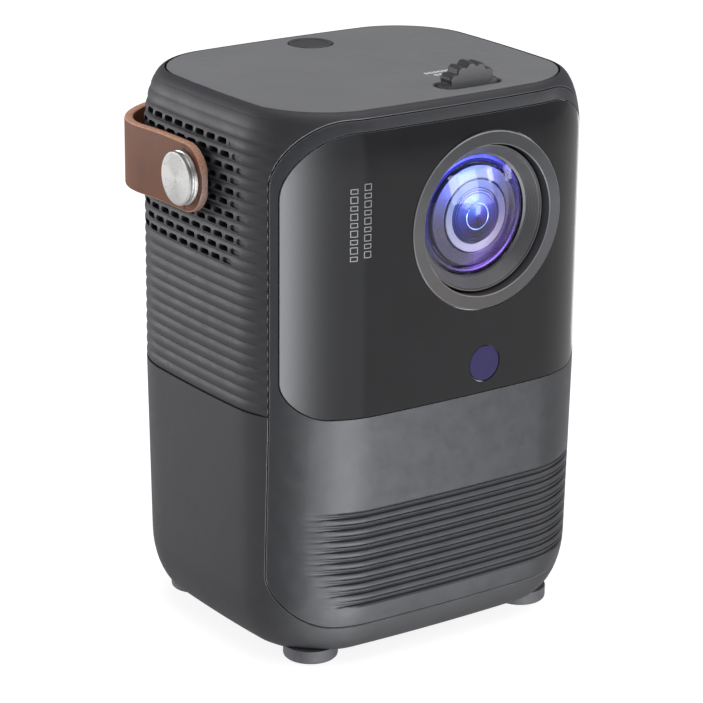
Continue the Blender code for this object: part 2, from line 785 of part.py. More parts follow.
def strap_droop(y):
    """How far the leather hangs below its pins, towards the back."""
    share = min(max((y - 0.010) / (STRAP_BACK_Y - 0.010), 0), 1)
    return STRAP_DROOP * share * share * (3 - 2 * share)


def strap():
    pivot_y, pivot_z = STRAP_PIVOT

    def build(work):
        rows = []
        for x, y in strap_path():
            half = strap_half_width(y)
            drop = strap_droop(y)
            rows.append([work.verts.new((x, y - pivot_y, s * half - drop)) for s in (-1, 0, 1)])
        for one, two in zip(rows, rows[1:]):
            for i in (0, 1):
                work.faces.new((one[i], two[i], two[i + 1], one[i + 1]))

    band = add("strap", mesh_from(build), LEATHER, (0, pivot_y, pivot_z))
    thick = band.modifiers.new("leather", "SOLIDIFY")
    thick.thickness = STRAP_THICKNESS
    thick.offset = 0
    reach = STRAP_SIDE_X + 0.01
    place = (0, pivot_y, pivot_z)
    holes = turned("strap_holes", disc(0.0034, -reach, reach), place, "right", None, 24)
    return boolean(band, holes)


def strap_hardware():
    """On each side: a pin through the housing, a spacer washer under the leather and a round cap."""
    y, z = STRAP_PIVOT
    outside = STRAP_SIDE_X + STRAP_THICKNESS / 2
    inside = STRAP_SIDE_X - STRAP_THICKNESS / 2
    for facing, side in (("left", -1), ("right", 1)):
        place = (0, y, z)
        pin = [
            (0, outside - GAP),
            (0.0030, outside - GAP),
            (0.0030, 0.0647),
            (0.0052, 0.0647),
            (0.0052, 0.0618),
            (0, 0.0618),
        ]
        turned(f"strap_pin_{facing}", pin, place, facing, STEEL, 20)
        washer = ring(0.0070, 0.0033, HALF_WIDTH + 0.0001, inside - GAP)
        turned(f"strap_washer_{facing}", washer, place, facing, BLACK, 20)
        low = outside + GAP
        cap = [
            (0, low + 0.0030),
            (0.0078, low + 0.0030),
            (0.0086, low + 0.0024),
            (0.0086, low + 0.0012),
            (0.0092, low + 0.0008),
            (0.0092, low),
            (0, low),
        ]
        turned(f"strap_cap_{facing}", cap, place, facing, STEEL, 28)


# ---------------------------------------------------------------- light engine


def engine_housing():
    """The box that holds the optics above the lamp, open below, with a hole for the lens."""
    x = ENGINE_X
    half_x, half_y = ENGINE_SIZE[0] / 2, ENGINE_SIZE[1] / 2
    wall = 0.0020
    case = box("engine_housing", (x - half_x, ENGINE_Y - half_y, ENGINE_BOTTOM),
               (x + half_x, ENGINE_Y + half_y, ENGINE_TOP), BLACK)
    hollow = box("engine_hollow", (x - half_x + wall, ENGINE_Y - half_y + wall, ENGINE_BOTTOM - EPS),
                 (x + half_x - wall, ENGINE_Y + half_y - wall, ENGINE_TOP - wall))
    boolean(case, hollow)
    hole = disc(BARREL_RADIUS + GAP, 0, 0.030)
    boolean(case, turned("engine_lens_hole", hole, (x, 0, LENS_Z), "front", None, 32))
    return case


def optical_plate(name, z, thickness, surface):
    """A square optical plate held in the engine's light path."""
    half_x = ENGINE_SIZE[0] / 2 - 0.0020 - GAP
    half_y = ENGINE_SIZE[1] / 2 - 0.0020 - GAP
    return box(name, (ENGINE_X - half_x, ENGINE_Y - half_y, z),
               (ENGINE_X + half_x, ENGINE_Y + half_y, z + thickness), surface)


def engine_optics():
    optical_plate("fresnel_lens_upper", 0.1080, 0.0020, GLASS)
    optical_plate("lcd_panel", 0.0980, 0.0028, LCD)
    optical_plate("fresnel_lens_lower", 0.0880, 0.0020, GLASS)
    mesh = box_mesh([((-0.0270, -0.0300, -0.0010), (0.0270, 0.0300, 0.0010))])
    tilt = (math.radians(-45), 0, 0)
    add("fold_mirror", mesh, MIRROR, (ENGINE_X, ENGINE_Y + 0.0015, LENS_Z), tilt, smooth=False)
    rings = 4
    profile = [(0.0180 * i / rings, 0.0660 + 0.0060 * (1 - (i / rings) ** 2)) for i in range(rings + 1)]
    profile += [(0.0180, 0.0640), (0, 0.0640)]
    turned("condenser_lens", profile, (ENGINE_X, ENGINE_Y, 0), surface=GLASS, steps=20)


HEAT_SINK_TOP = 0.0540
HEAT_SINK_BOTTOM = 0.0240


def heat_sink():
    """Finned block: a comb outline, fins down, made thick along Y."""
    half = 0.0290
    fins = 12
    pitch = (2 * half - 0.0016) / (fins - 1)
    base = HEAT_SINK_TOP - 0.0050
    points = [(half, HEAT_SINK_TOP), (-half, HEAT_SINK_TOP)]
    for i in range(fins):
        x = -half + pitch * i
        if i:
            points.append((x, base))
        points += [(x, HEAT_SINK_BOTTOM), (x + 0.0016, HEAT_SINK_BOTTOM)]
        if i < fins - 1:
            points.append((x + 0.0016, base))
    mesh = outline_mesh(points, -0.0280, 0.0280)
    place = (ENGINE_X, ENGINE_Y, 0)
    return add("heat_sink", mesh, ALUMINIUM, place, FACING["front"], smooth=False)


def led_module():
    low = HEAT_SINK_TOP + GAP
    x, y = ENGINE_X, ENGINE_Y
    plate = box("led_module", (x - 0.0140, y - 0.0140, low), (x + 0.0140, y + 0.0140, low + 0.0020), ALUMINIUM)
    emitter = box("led_emitter", (x - 0.0050, y - 0.0050, low + 0.0010), (x + 0.0050, y + 0.0050, low + 0.0034))
    return boolean(plate, emitter, "UNION")


def inner_chassis():
    """Plate on the lower housing's columns. The engine and the boards stand on it."""
    points = plan_outline(0.0065)
    mesh = outline_mesh(points, CHASSIS_Z, CHASSIS_Z + CHASSIS_THICKNESS)
    plate = add("inner_chassis", mesh, ALUMINIUM, smooth=False)
    x, y = ENGINE_X, ENGINE_Y
    light = box("light_opening", (x - 0.020, y - 0.020, 0.050), (x + 0.020, y + 0.020, 0.070))
    boolean(plate, light)
    wires = box("wire_opening", (-0.056, -0.012, 0.050), (-0.046, 0.012, 0.070))
    return boolean(plate, wires)


# ---------------------------------------------------------------- fan, boards, speaker, ports


def fan():
    x, y, z = FAN_CENTRE
    half = FAN_SIZE / 2
    deep = FAN_DEPTH / 2
    frame = box("fan_frame", (x - deep, y - half, z - half), (x + deep, y + half, z + half), BLACK)
    bore = disc(0.0236, -0.02, 0.02)
    boolean(frame, turned("fan_bore", bore, (x, y, z), "right", None, 24))
    spokes = [
        ((-deep, -0.0010, -0.0240), (-deep + 0.0015, 0.0010, 0.0240)),
        ((-deep, -0.0240, -0.0010), (-deep + 0.0015, 0.0240, 0.0010)),
    ]
    for i, spoke in enumerate(spokes):
        boolean(frame, add(f"fan_spoke_{i}", box_mesh([spoke]), None, (x, y, z), smooth=False), "UNION")
    seat = disc(0.0095, -deep, -deep + 0.0015)
    boolean(frame, turned("fan_motor_seat", seat, (x, y, z), "right", None, 16), "UNION")

    hub = disc(0.0095, -deep + 0.0018, deep - 0.0010)
    rotor = turned("fan_rotor", hub, (x, y, z), "right", BLACK, 16)
    blades = []
    pitch = Matrix.Rotation(math.radians(38), 4, "Y")
    for i in range(7):
        mesh = box_mesh([((-0.0050, 0.0085, -0.0005), (0.0050, 0.0226, 0.0005))])
        turn = Matrix.Rotation(2 * math.pi * i / 7, 4, "Z")
        lift = Matrix.Translation((0, 0, 0.0006))
        mesh.transform(turn @ lift @ pitch)
        blades.append(mesh)

    def build(work):
        for mesh in blades:
            work.from_mesh(mesh)

    joined = add("fan_blades", mesh_from(build), None, (x, y, z), FACING["right"], smooth=False)
    boolean(rotor, joined, "UNION")


def board(name, low, high, blocks):
    """A circuit board with its larger components joined on, given as boxes."""
    plate = box(name, low, high, BOARD)
    for i, (corner, other) in enumerate(blocks):
        boolean(plate, box(f"{name}_block_{i}", corner, other), "UNION")
    return plate


def boards():
    x = -0.0440
    board(
        "main_board",
        (x, -0.0360, 0.0626),
        (x + 0.0016, 0.0360, 0.1300),
        [
            ((x + 0.0010, -0.0150, 0.0900), (x + 0.0100, 0.0150, 0.1180)),
            ((x + 0.0010, -0.0320, 0.0700), (x + 0.0050, -0.0200, 0.0820)),
            ((x + 0.0010, 0.0180, 0.0680), (x + 0.0060, 0.0320, 0.0760)),
        ],
    )
    board(
        "power_board",
        (x, -0.0250, 0.0120),
        (x + 0.0016, 0.0250, 0.0560),
        [
            ((x + 0.0010, -0.0200, 0.0180), (x + 0.0160, -0.0060, 0.0320)),
            ((x + 0.0010, 0.0040, 0.0200), (x + 0.0140, 0.0200, 0.0380)),
        ],
    )


SPEAKER_PLACE = (0.0, -0.0290, 0.0340)


def speaker():
    """Forward-facing loudspeaker behind the lower part of the bezel."""
    x, y, z = SPEAKER_PLACE
    frame = [
        (0.0200, 0.0200),
        (0.0200, 0.0175),
        (0.0125, 0.0080),
        (0.0125, 0.0062),
        (0.0100, 0.0062),
        (0.0100, 0.0085),
        (0.0178, 0.0182),
        (0.0178, 0.0200),
    ]
    turned("speaker_frame", frame, (x, y, z), "front", STEEL, 20)
    turned("speaker_magnet", disc(0.0125, 0.0008, 0.0059), (x, y, z), "front", STEEL, 20)
    cone = [
        (0, 0.0111),
        (0.0060, 0.0126),
        (0.0168, 0.0198),
        (0.0168, 0.0188),
        (0.0068, 0.0106),
        (0.0068, 0.0080),
        (0, 0.0080),
    ]
    turned("speaker_cone", cone, (x, y, z), "front", PAPER, 20)


def port_hole(name, x, z, half_x, half_z, depth=0.01):
    y = PORT_PLATE["front_y"]
    return box(name, (x - half_x, y - depth, z - half_z), (x + half_x, y + EPS, z + half_z))


SOCKET_Z = 0.0430
SOCKETS = {
    "hdmi_socket": (-0.0215, 0.0076, 0.0029),
    "usb_socket_left": (-0.0035, 0.0067, 0.0030),
    "usb_socket_right": (0.0125, 0.0067, 0.0030),
}
ROUND_SOCKETS = {
    "audio_jack": (0.0235, 0.0490, 0.0030, 0.0018),
    "power_inlet": (0.0250, 0.0375, 0.0042, 0.0028),
}
REAR_IR = (-0.0030, 0.0515, 0.0024)


def port_pieces():
    """Rear port plate, its sockets and the small board that carries them."""
    plate = PORT_PLATE
    front = plate["front_y"]
    back = front - plate["thickness"]
    middle = (plate["low"] + plate["high"]) / 2
    half_height = (plate["high"] - plate["low"]) / 2
    points = rounded_rectangle(plate["half"], -half_height, half_height, 0.0037, 0.0037, 4)
    mesh = outline_mesh(points, back, front)
    cover = add("port_plate", mesh, BLACK, (0, 0, middle), FACING["back"], smooth=False)
    for name, (x, half_x, half_z) in SOCKETS.items():
        boolean(cover, port_hole(f"{name}_hole", x, SOCKET_Z, half_x + GAP, half_z + GAP))
        shell_low = (x - half_x, 0.0440, SOCKET_Z - half_z)
        shell_high = (x + half_x, front - 0.0002, SOCKET_Z + half_z)
        shell = box(name, shell_low, shell_high, STEEL)
        wall = 0.0005
        mouth = ((x - half_x + wall, 0.0460, SOCKET_Z - half_z + wall),
                 (x + half_x - wall, front + EPS, SOCKET_Z + half_z - wall))
        boolean(shell, box(f"{name}_mouth", *mouth))
        tongue = ((x - half_x + 0.0016, 0.0450, SOCKET_Z - 0.0007),
                  (x + half_x - 0.0016, front - 0.0015, SOCKET_Z + 0.0008))
        boolean(shell, box(f"{name}_tongue", *tongue), "UNION")
    for name, (x, z, radius, bore) in ROUND_SOCKETS.items():
        hole = disc(radius + GAP, back - EPS, front + EPS)
        boolean(cover, turned(f"{name}_hole", hole, (x, 0, z), "back", None, 20))
        profile = [
            (0, 0.0460),
            (bore, 0.0460),
            (bore, front - 0.0002),
            (radius, front - 0.0002),
            (radius, 0.0440),
            (0, 0.0440),
        ]
        turned(name, profile, (x, 0, z), "back", BLACK, 20)
    x, z, radius = REAR_IR
    hole = disc(radius + GAP, back - EPS, front + EPS)
    boolean(cover, turned("rear_ir_hole", hole, (x, 0, z), "back", None, 16))
    turned("rear_ir_window", disc(radius, back, front - 0.0001), (x, 0, z), "back", IR_FILTER, 16)
    box("port_board", (-0.0310, 0.0421, 0.0310), (0.0310, 0.0437, 0.0550), BOARD)


# ---------------------------------------------------------------- assembly

upper_housing()
lower_housing()
front_bezel()
front_panel()
top_cover()
feet_and_screws()
tripod_insert()
lens_trim_ring()
lens_barrel()
element("front_lens_element", GLASS_RADIUS, -0.0498, -0.0452, 0.0026, 0.0010, 28)
element("middle_lens_element", 0.0169, -0.0370, -0.0350, 0.0018, 0.0012)
element("rear_lens_element", 0.0169, -0.0240, -0.0220, 0.0012, 0.0014)
focus_pair()
focus_bracket()
lens_holder()
ir_pieces()
power_button()
strap()
strap_hardware()
engine_housing()
engine_optics()
heat_sink()
led_module()
inner_chassis()
fan()
boards()
speaker()
port_pieces()
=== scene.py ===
import json
import math

import bmesh
import bpy
import numpy as np
from mathutils import Matrix, Vector


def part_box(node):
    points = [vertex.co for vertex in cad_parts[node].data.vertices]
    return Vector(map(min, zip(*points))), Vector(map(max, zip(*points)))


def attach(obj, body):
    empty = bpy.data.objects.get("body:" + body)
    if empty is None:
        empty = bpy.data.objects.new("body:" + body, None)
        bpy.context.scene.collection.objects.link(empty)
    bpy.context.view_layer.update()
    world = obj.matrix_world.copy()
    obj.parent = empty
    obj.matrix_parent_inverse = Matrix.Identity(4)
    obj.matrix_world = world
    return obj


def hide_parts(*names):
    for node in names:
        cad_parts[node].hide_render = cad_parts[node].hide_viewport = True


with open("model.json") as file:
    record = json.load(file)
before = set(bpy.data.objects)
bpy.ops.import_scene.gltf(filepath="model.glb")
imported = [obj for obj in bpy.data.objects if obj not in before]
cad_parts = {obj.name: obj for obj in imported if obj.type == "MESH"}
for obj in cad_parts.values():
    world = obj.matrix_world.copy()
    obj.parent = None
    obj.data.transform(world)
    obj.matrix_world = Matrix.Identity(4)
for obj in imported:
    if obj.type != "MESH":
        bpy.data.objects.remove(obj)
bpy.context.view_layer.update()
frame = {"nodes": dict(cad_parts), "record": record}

nodes = frame["nodes"]

# --- sizes, in metres

HALF_WIDTH = 0.0675
HALF_DEPTH = 0.0580
CORNER_RADIUS = 0.0320
SIDE_BULGE = 0.038
FRONT_BULGE = 0.044
BODY_BOTTOM = 0.0030
HOUSING_TOP = 0.1916
SEAM_Z = 0.0898    # height of the seam between the two shells
TOP_ROUND = (0.0080, 0.0220)    # across and up
BOTTOM_ROUND = (0.0130, 0.0225)
DRAFT = 0.0016
WALL = 0.0025
INNER_TOP = 0.1874
GAP = 0.0003
ABOVE = 0.2000    # past everything, for cutters
COVER_TOP = 0.1916
COVER_INSET = 0.0080
COVER_THICKNESS = 0.0018
COVER_GAP = 0.0007
BUTTON_BORE = 0.0080
# Outlines in the front view: half width, bottom, top, then the radius of the top and of the bottom corners.
BEZEL = (0.0630, 0.0155, 0.1892, 0.0220, 0.0180)
PANEL = (0.0612, 0.0903, 0.1857, 0.0220, 0.0120)
PANEL_THICKNESS = 0.0012
BEZEL_SEAM = (0.00060, 0.00032)    # the chamfer on the shells and the one on the bezel
PANEL_SEAM = (0.00026, 0.00030)    # on the bezel and on the panel
SHELL_SEAM = 0.00028
RIB_PITCH = 0.00396
RIB_COUNT = 25
GROOVE_PITCH = 0.00395
GROOVE_TOP = 0.0554
GROOVE_COUNT = 9


def middle_of(name):
    """The middle of a CAD node's box."""
    low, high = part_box(name)
    return [(a + b) / 2 for a, b in zip(low, high)]


# The body is centred on its top cover. x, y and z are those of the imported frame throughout.
BODY_Y = middle_of("top_cover")[1]
LENS_X, _, LENS_Z = middle_of("lens_trim_ring")
ring_low, ring_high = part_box("lens_trim_ring")
RING_RADIUS = (ring_high.x - ring_low.x) / 2
WHEEL_X, _, WHEEL_Z = middle_of("focus_wheel_axle")
WHEEL_Y = middle_of("focus_wheel")[1]
wheel_low, wheel_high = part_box("focus_wheel")
BUTTON = (*middle_of("power_button")[:2], 0)
STRAP_PIVOT = (0, *middle_of("strap_cap_left")[1:])
IR_X, _, IR_Z = middle_of("ir_window")

# --- materials


def material(build):
    """Turns a function that sets up a shader into one that makes a named material and returns it."""
    def make(name, *values, **settings):
        made = bpy.data.materials.new(name)
        made.use_nodes = True
        build(made.node_tree, made.node_tree.nodes["Principled BSDF"], *values, **settings)
        return made
    return make


def feed(tree, socket, value):
    """Joins an input to another node's output, or sets it to a constant."""
    if isinstance(value, bpy.types.NodeSocket):
        tree.links.new(value, socket)
    else:
        socket.default_value = value


def set_inputs(tree, node, **values):
    """Feeds a node's inputs by name."""
    for key, value in values.items():
        feed(tree, node.inputs[key.replace("_", " ")], value)


def add_node(tree, kind, **values):
    """A node with its inputs fed by name; names with a leading underscore set the node's own settings."""
    node = tree.nodes.new(kind)
    for key in [key for key in values if key.startswith("_")]:
        setattr(node, key[1:], values.pop(key))
    set_inputs(tree, node, **values)
    return node


def math_node(tree, operation, *values, kind="ShaderNodeMath"):
    node = add_node(tree, kind, _operation=operation)
    for socket, value in zip(node.inputs, values):
        feed(tree, socket, value)
    return node.outputs[0]


def place_coordinates(tree):
    return add_node(tree, "ShaderNodeTexCoord").outputs["Object"]


def angle_round(tree, centre, first, second):
    """The angle round a line through centre, from two of the coordinates X, Y and Z."""
    away = math_node(tree, "SUBTRACT", place_coordinates(tree), centre, kind="ShaderNodeVectorMath")
    apart = add_node(tree, "ShaderNodeSeparateXYZ", Vector=away).outputs
    return math_node(tree, "ARCTAN2", apart[first], apart[second])


def noise(tree, scale, detail=3.0, roughness=0.5, vector=None):
    if vector is None:
        vector = place_coordinates(tree)
    settings = dict(Scale=scale, Detail=detail, Roughness=roughness, Vector=vector)
    return add_node(tree, "ShaderNodeTexNoise", **settings).outputs["Fac"]


def voronoi(tree, scale, **settings):
    node = add_node(tree, "ShaderNodeTexVoronoi", Scale=scale, Vector=place_coordinates(tree), **settings)
    return node.outputs["Distance"]


def ramp(tree, value, stops):
    node = add_node(tree, "ShaderNodeValToRGB", Fac=value)
    elements = node.color_ramp.elements
    while len(elements) < len(stops):
        elements.new(0.5)
    for element, (place, colour) in zip(elements, stops):
        element.position = place
        element.color = (*colour, 1)
    return node.outputs["Color"]


def spread(tree, value, low, high, from_low=0.3, from_high=0.7):
    """Carries a range of values, by default the middle of a noise, to the range from low to high."""
    node = add_node(tree, "ShaderNodeMapRange", Value=value, From_Min=from_low, From_Max=from_high,
                    To_Min=low, To_Max=high)
    return node.outputs["Result"]


def bump(tree, shader, height, distance, strength, under=None):
    node = add_node(tree, "ShaderNodeBump", Strength=strength, Distance=distance, Height=height)
    if under is not None:
        set_inputs(tree, node, Normal=under)
    set_inputs(tree, shader, Normal=node.outputs["Normal"])
    return node.outputs["Normal"]


def shade(colour, factor):
    return tuple(c * factor for c in colour)


@material
def moulded_plastic(tree, shader, colour, roughness, grain=2600, depth=0.00003, vary=0.10, specular=0.5):
    """Moulded plastic: fine spark-eroded grain, faint blotches and scuffs in its sheen."""
    speck = noise(tree, grain, 2)
    mixed = math_node(tree, "ADD", noise(tree, 35, 4), speck)
    tone = ramp(tree, spread(tree, mixed, 0, 1, 0.7, 1.3),
                [(0, shade(colour, 1 - vary)), (1, shade(colour, 1 + vary))])
    sheen = spread(tree, noise(tree, 160, 6, 0.7), roughness - 0.05, roughness + 0.06)
    set_inputs(tree, shader, Base_Color=tone, Roughness=sheen, Specular_IOR_Level=specular)
    bump(tree, shader, speck, depth, 0.6)


@material
def brushed_metal(tree, shader, colour, roughness, direction=(1, 1, 40)):
    """Metal with fine lines drawn along one direction."""
    stretch = add_node(tree, "ShaderNodeMapping", Scale=direction, Vector=place_coordinates(tree))
    lines = noise(tree, 300, 4, 0.6, stretch.outputs["Vector"])
    set_inputs(tree, shader, Base_Color=ramp(tree, lines, [(0.3, shade(colour, 0.86)), (0.7, colour)]),
               Roughness=spread(tree, lines, roughness - 0.06, roughness + 0.10), Metallic=1.0)
    bump(tree, shader, lines, 0.00001, 0.4)


@material
def spun_metal(tree, shader, colour, roughness, centre):
    """Metal turned about the X axis through centre, with a painted sheen in its colour: lighter and darker
    sectors that run out from the middle like a fan.
    """
    fan = math_node(tree, "COSINE", math_node(tree, "MULTIPLY", angle_round(tree, centre, "Z", "Y"), 2.0))
    fine = noise(tree, 2200, 3)
    # The fan is a painted sheen in the base colour.
    mixed = math_node(tree, "MULTIPLY_ADD", fan, 0.22, fine)
    tone = ramp(tree, mixed, [(0.25, shade(colour, 0.72)), (0.75, colour)])
    set_inputs(tree, shader, Base_Color=tone, Metallic=1.0,
               Roughness=spread(tree, fine, roughness - 0.05, roughness + 0.08))
    bump(tree, shader, fine, 0.00001, 0.35)


@material
def leather_face(tree, shader, colour):
    """Finished leather: pebbled grain, small pores and slow changes of tone."""
    patches = noise(tree, 70, 6, 0.6)
    tone = ramp(tree, patches, [(0.32, shade(colour, 0.84)), (0.52, colour), (0.72, shade(colour, 1.14))])
    set_inputs(tree, shader, Base_Color=tone, Specular_IOR_Level=0.2,
               Roughness=spread(tree, patches, 0.50, 0.62))
    pebbles = bump(tree, shader, voronoi(tree, 1500, Randomness=1.0), 0.00006, 0.35)
    bump(tree, shader, noise(tree, 420, 5, 0.65), 0.00012, 0.30, pebbles)


@material
def leather_edge(tree, shader, colour):
    """Cut and waxed leather edge: pale fibres with dark and light specks."""
    fibres = noise(tree, 2400, 3, 0.7)
    tone = ramp(tree, fibres, [(0.36, shade(colour, 0.66)), (0.5, colour), (0.66, shade(colour, 1.5))])
    set_inputs(tree, shader, Base_Color=tone, Roughness=0.62)
    bump(tree, shader, fibres, 0.00008, 0.5)


@material
def rubber(tree, shader, colour):
    """Dull rubber or paper with a little dust on it."""
    dust = noise(tree, 500, 6, 0.7)
    set_inputs(tree, shader, Base_Color=ramp(tree, dust, [(0.35, colour), (0.75, shade(colour, 1.5))]),
               Roughness=spread(tree, dust, 0.62, 0.80), Specular_IOR_Level=0.3)
    bump(tree, shader, dust, 0.00003, 0.5)


@material
def circuit_board(tree, shader, colour):
    """Solder mask over copper tracks."""
    tracks = voronoi(tree, 380, _distance="MANHATTAN")
    set_inputs(tree, shader, Base_Color=ramp(tree, tracks, [(0.28, shade(colour, 1.5)), (0.4, colour)]),
               Roughness=0.35)
    bump(tree, shader, tracks, 0.00005, 0.4)


@material
def gloss_panel(tree, shader, colour):
    """Piano-black acrylic: nearly no colour of its own and the finest orange peel."""
    haze = noise(tree, 60, 5, 0.6)
    set_inputs(tree, shader, Base_Color=ramp(tree, haze, [(0.3, colour), (0.7, shade(colour, 1.25))]),
               Roughness=spread(tree, haze, 0.17, 0.21))
    bump(tree, shader, noise(tree, 90, 2), 0.00001, 0.15)


@material
def clear_glass(tree, shader, tint, sheen=(1, 1, 1)):
    """Glass that lets lamps through, so what is behind it is lit."""
    tint = (*tint, 1)
    set_inputs(tree, shader, Base_Color=tint, Transmission_Weight=1.0, IOR=1.5,
               Roughness=spread(tree, noise(tree, 120, 4), 0.008, 0.02), Specular_Tint=(*sheen, 1))
    through = add_node(tree, "ShaderNodeBsdfTransparent", Color=tint)
    mix = tree.nodes.new("ShaderNodeMixShader")
    shadow = tree.nodes.new("ShaderNodeLightPath").outputs["Is Shadow Ray"]
    for socket, value in zip(mix.inputs, (shadow, shader.outputs["BSDF"], through.outputs["BSDF"])):
        feed(tree, socket, value)
    set_inputs(tree, tree.nodes["Material Output"], Surface=mix.outputs["Shader"])


@material
def coating_with_painted_light(tree, shader, stops, roughness, coat=0.0, metallic=1.0, specular=0.5):
    """An anti-reflection coated surface. Its tint turns with the angle round the lens axis, from stops that
    start at the bottom and run over the left, the top and the right to the bottom again. That turning tint is
    painted light: painted reflections and painted shade, lighter or darker by side as the lamps would make
    it."""
    turn = spread(tree, angle_round(tree, (LENS_X, 0, LENS_Z), "X", "Z"), 0, 1, -math.pi, math.pi)
    wobble = math_node(tree, "MULTIPLY_ADD", noise(tree, 90, 2), 0.06, turn)
    # The base colour round the axis is painted reflection and painted shade.
    set_inputs(tree, shader, Base_Color=ramp(tree, wobble, stops), Metallic=metallic,
               Roughness=spread(tree, noise(tree, 200, 3), roughness, roughness + 0.04),
               Specular_IOR_Level=specular, Coat_Weight=coat, Coat_Roughness=0.02)


# Satin anodised, with painted shade and light: warm low on the left, cooler and darker towards the top,
# lightest on the right, to stand in for how the lamps fall on the ring.
SATIN_PAINTED_SHADE = [(0, (0.074, 0.067, 0.066)), (0.12, (0.086, 0.070, 0.066)), (0.27, (0.080, 0.078, 0.082)),
         (0.42, (0.036, 0.037, 0.042)), (0.52, (0.022, 0.023, 0.027)), (0.64, (0.040, 0.041, 0.047)),
         (0.78, (0.105, 0.107, 0.120)), (0.92, (0.080, 0.079, 0.084)), (1, (0.074, 0.067, 0.066))]

housing_plastic = moulded_plastic("housing_plastic", (0.031, 0.031, 0.037), 0.52, specular=0.35)
cover_plastic = moulded_plastic("cover_plastic", (0.163, 0.164, 0.173), 0.52, 3000, 0.00004, 0.06, 0.35)
bezel_plastic = moulded_plastic("bezel_plastic", (0.030, 0.031, 0.038), 0.42, specular=0.45)
gloss_plastic = gloss_panel("gloss_plastic", (0.020, 0.020, 0.023))
# Pale grey for cut chamfers: partly the bare cut edge, partly a painted highlight.
cut_edge = moulded_plastic("cut_edge", (0.32, 0.31, 0.32), 0.30, 3500, 0.00001, 0.05)
black_plastic = moulded_plastic("black_plastic", (0.033, 0.033, 0.037), 0.45)
barrel_grey = moulded_plastic("barrel_grey", (0.060, 0.060, 0.066), 0.42, 3000, 0.00001)
# A lighter copy of the dark plastic for the seam chamfers: a painted highlight where their edges catch the
# light.
edge_shine = moulded_plastic("edge_shine", (0.105, 0.106, 0.116), 0.40)
# Near black: the painted shade in the gap round the top plate.
gasket_black = moulded_plastic("gasket_black", (0.006, 0.006, 0.007), 0.7, specular=0.1)
# A lighter copy of the barrel plastic: a painted highlight on the lip and ridges.
ridge_shine = moulded_plastic("ridge_shine", (0.200, 0.196, 0.205), 0.36, 3000, 0.00001)
wheel_plastic = moulded_plastic("wheel_plastic", (0.138, 0.139, 0.146), 0.5)
lobe_plastic = moulded_plastic("lobe_plastic", (0.034, 0.034, 0.037), 0.5, specular=0.35)
steel = brushed_metal("brushed_steel", (0.62, 0.62, 0.63), 0.30)
foot_rubber = rubber("foot_rubber", (0.115, 0.113, 0.126))
ir_plastic = moulded_plastic("ir_filter", (0.082, 0.068, 0.235), 0.35, 1500, 0.00001, 0.05, 0.3)
strap_face = leather_face("leather_face", (0.160, 0.058, 0.029))
strap_edge = leather_edge("leather_edge", (0.46, 0.235, 0.152))
pale_print = moulded_plastic("pale_print", (0.19, 0.195, 0.21), 0.5, 4000, 0.00001, 0.15)
bright_print = moulded_plastic("bright_print", (0.85, 0.85, 0.86), 0.5, 4000, 0.00001, 0.08)

BY_SLOT = {
    "housing_plastic": housing_plastic,
    "cover_plastic": cover_plastic,
    "gloss_plastic": gloss_plastic,
    "satin_ring": cut_edge,
    "black_plastic": black_plastic,
    "lens_glass": clear_glass("lens_glass", (0.93, 0.95, 1.0)),
    "ir_filter": ir_plastic,
    "leather": strap_face,
    "steel": steel,
    "aluminium": brushed_metal("drawn_aluminium", (0.55, 0.56, 0.57), 0.38, (1, 40, 1)),
    "brass": brushed_metal("turned_brass", (0.70, 0.55, 0.25), 0.32),
    "rubber": foot_rubber,
    "circuit_board": circuit_board("circuit_board", (0.02, 0.12, 0.06)),
    "speaker_cone": rubber("speaker_paper", (0.02, 0.02, 0.021)),
    "mirror": brushed_metal("mirror_silver", (0.85, 0.86, 0.88), 0.08),
    "lcd": moulded_plastic("lcd_face", (0.05, 0.06, 0.08), 0.2),
}
for entry in frame["record"]["subparts"]:
    node = nodes[entry["node"]]
    node.data.materials.clear()
    node.data.materials.append(BY_SLOT[entry["material_slot"]])

# --- mesh helpers


def smoothstep(low, high, value):
    share = np.clip((value - low) / (high - low), 0, 1)
    return share * share * (3 - 2 * share)


def link(name, data):
    obj = bpy.data.objects.new(name, data)
    bpy.context.scene.collection.objects.link(obj)
    return obj


def mesh_object(name, verts, faces, surfaces=(), outwards=True):
    mesh = bpy.data.meshes.new(name)
    mesh.from_pydata(verts, [], faces)
    if outwards:
        face_outwards(mesh)
    for surface in surfaces:
        mesh.materials.append(surface)
    return link(name, mesh)


def face_outwards(mesh):
    work = bmesh.new()
    work.from_mesh(mesh)
    bmesh.ops.recalc_face_normals(work, faces=work.faces)
    work.to_mesh(mesh)
    work.free()


def grid(rings):
    """The points of rings of equally many points, and their numbers as rows and columns."""
    rings = np.asarray(rings, float)
    return rings.reshape(-1, 3).tolist(), np.arange(rings[..., 0].size).reshape(rings.shape[:2])


def quads_between(lower, upper):
    """Four-cornered faces between rows of point numbers; every row is closed."""
    corners = (lower, np.roll(lower, -1, axis=1), np.roll(upper, -1, axis=1), upper)
    return np.stack(corners, axis=-1).reshape(-1, 4).tolist()


def loft(name, rings, surfaces=(), outwards=False):
    """A closed solid through rings, lowest first; its ends are flat faces."""
    points, index = grid(rings)
    faces = quads_between(index[:-1], index[1:]) + [index[0][::-1].tolist(), index[-1].tolist()]
    return mesh_object(name, points, faces, surfaces, outwards)


def closed_loft(name, rings):
    """A closed tube: the last ring joins the first."""
    points, index = grid(rings)
    return mesh_object(name, points, quads_between(index, np.roll(index, -1, axis=0)))


def drop_empty_slots(mesh):
    """Faces that a cutter without a material left behind take the first material."""
    surfaces = list(mesh.materials)
    if not any(surfaces):
        return
    for polygon in mesh.polygons:
        if surfaces[polygon.material_index] is None:
            polygon.material_index = 0
    while surfaces[-1] is None:
        surfaces.pop()
        mesh.materials.pop()


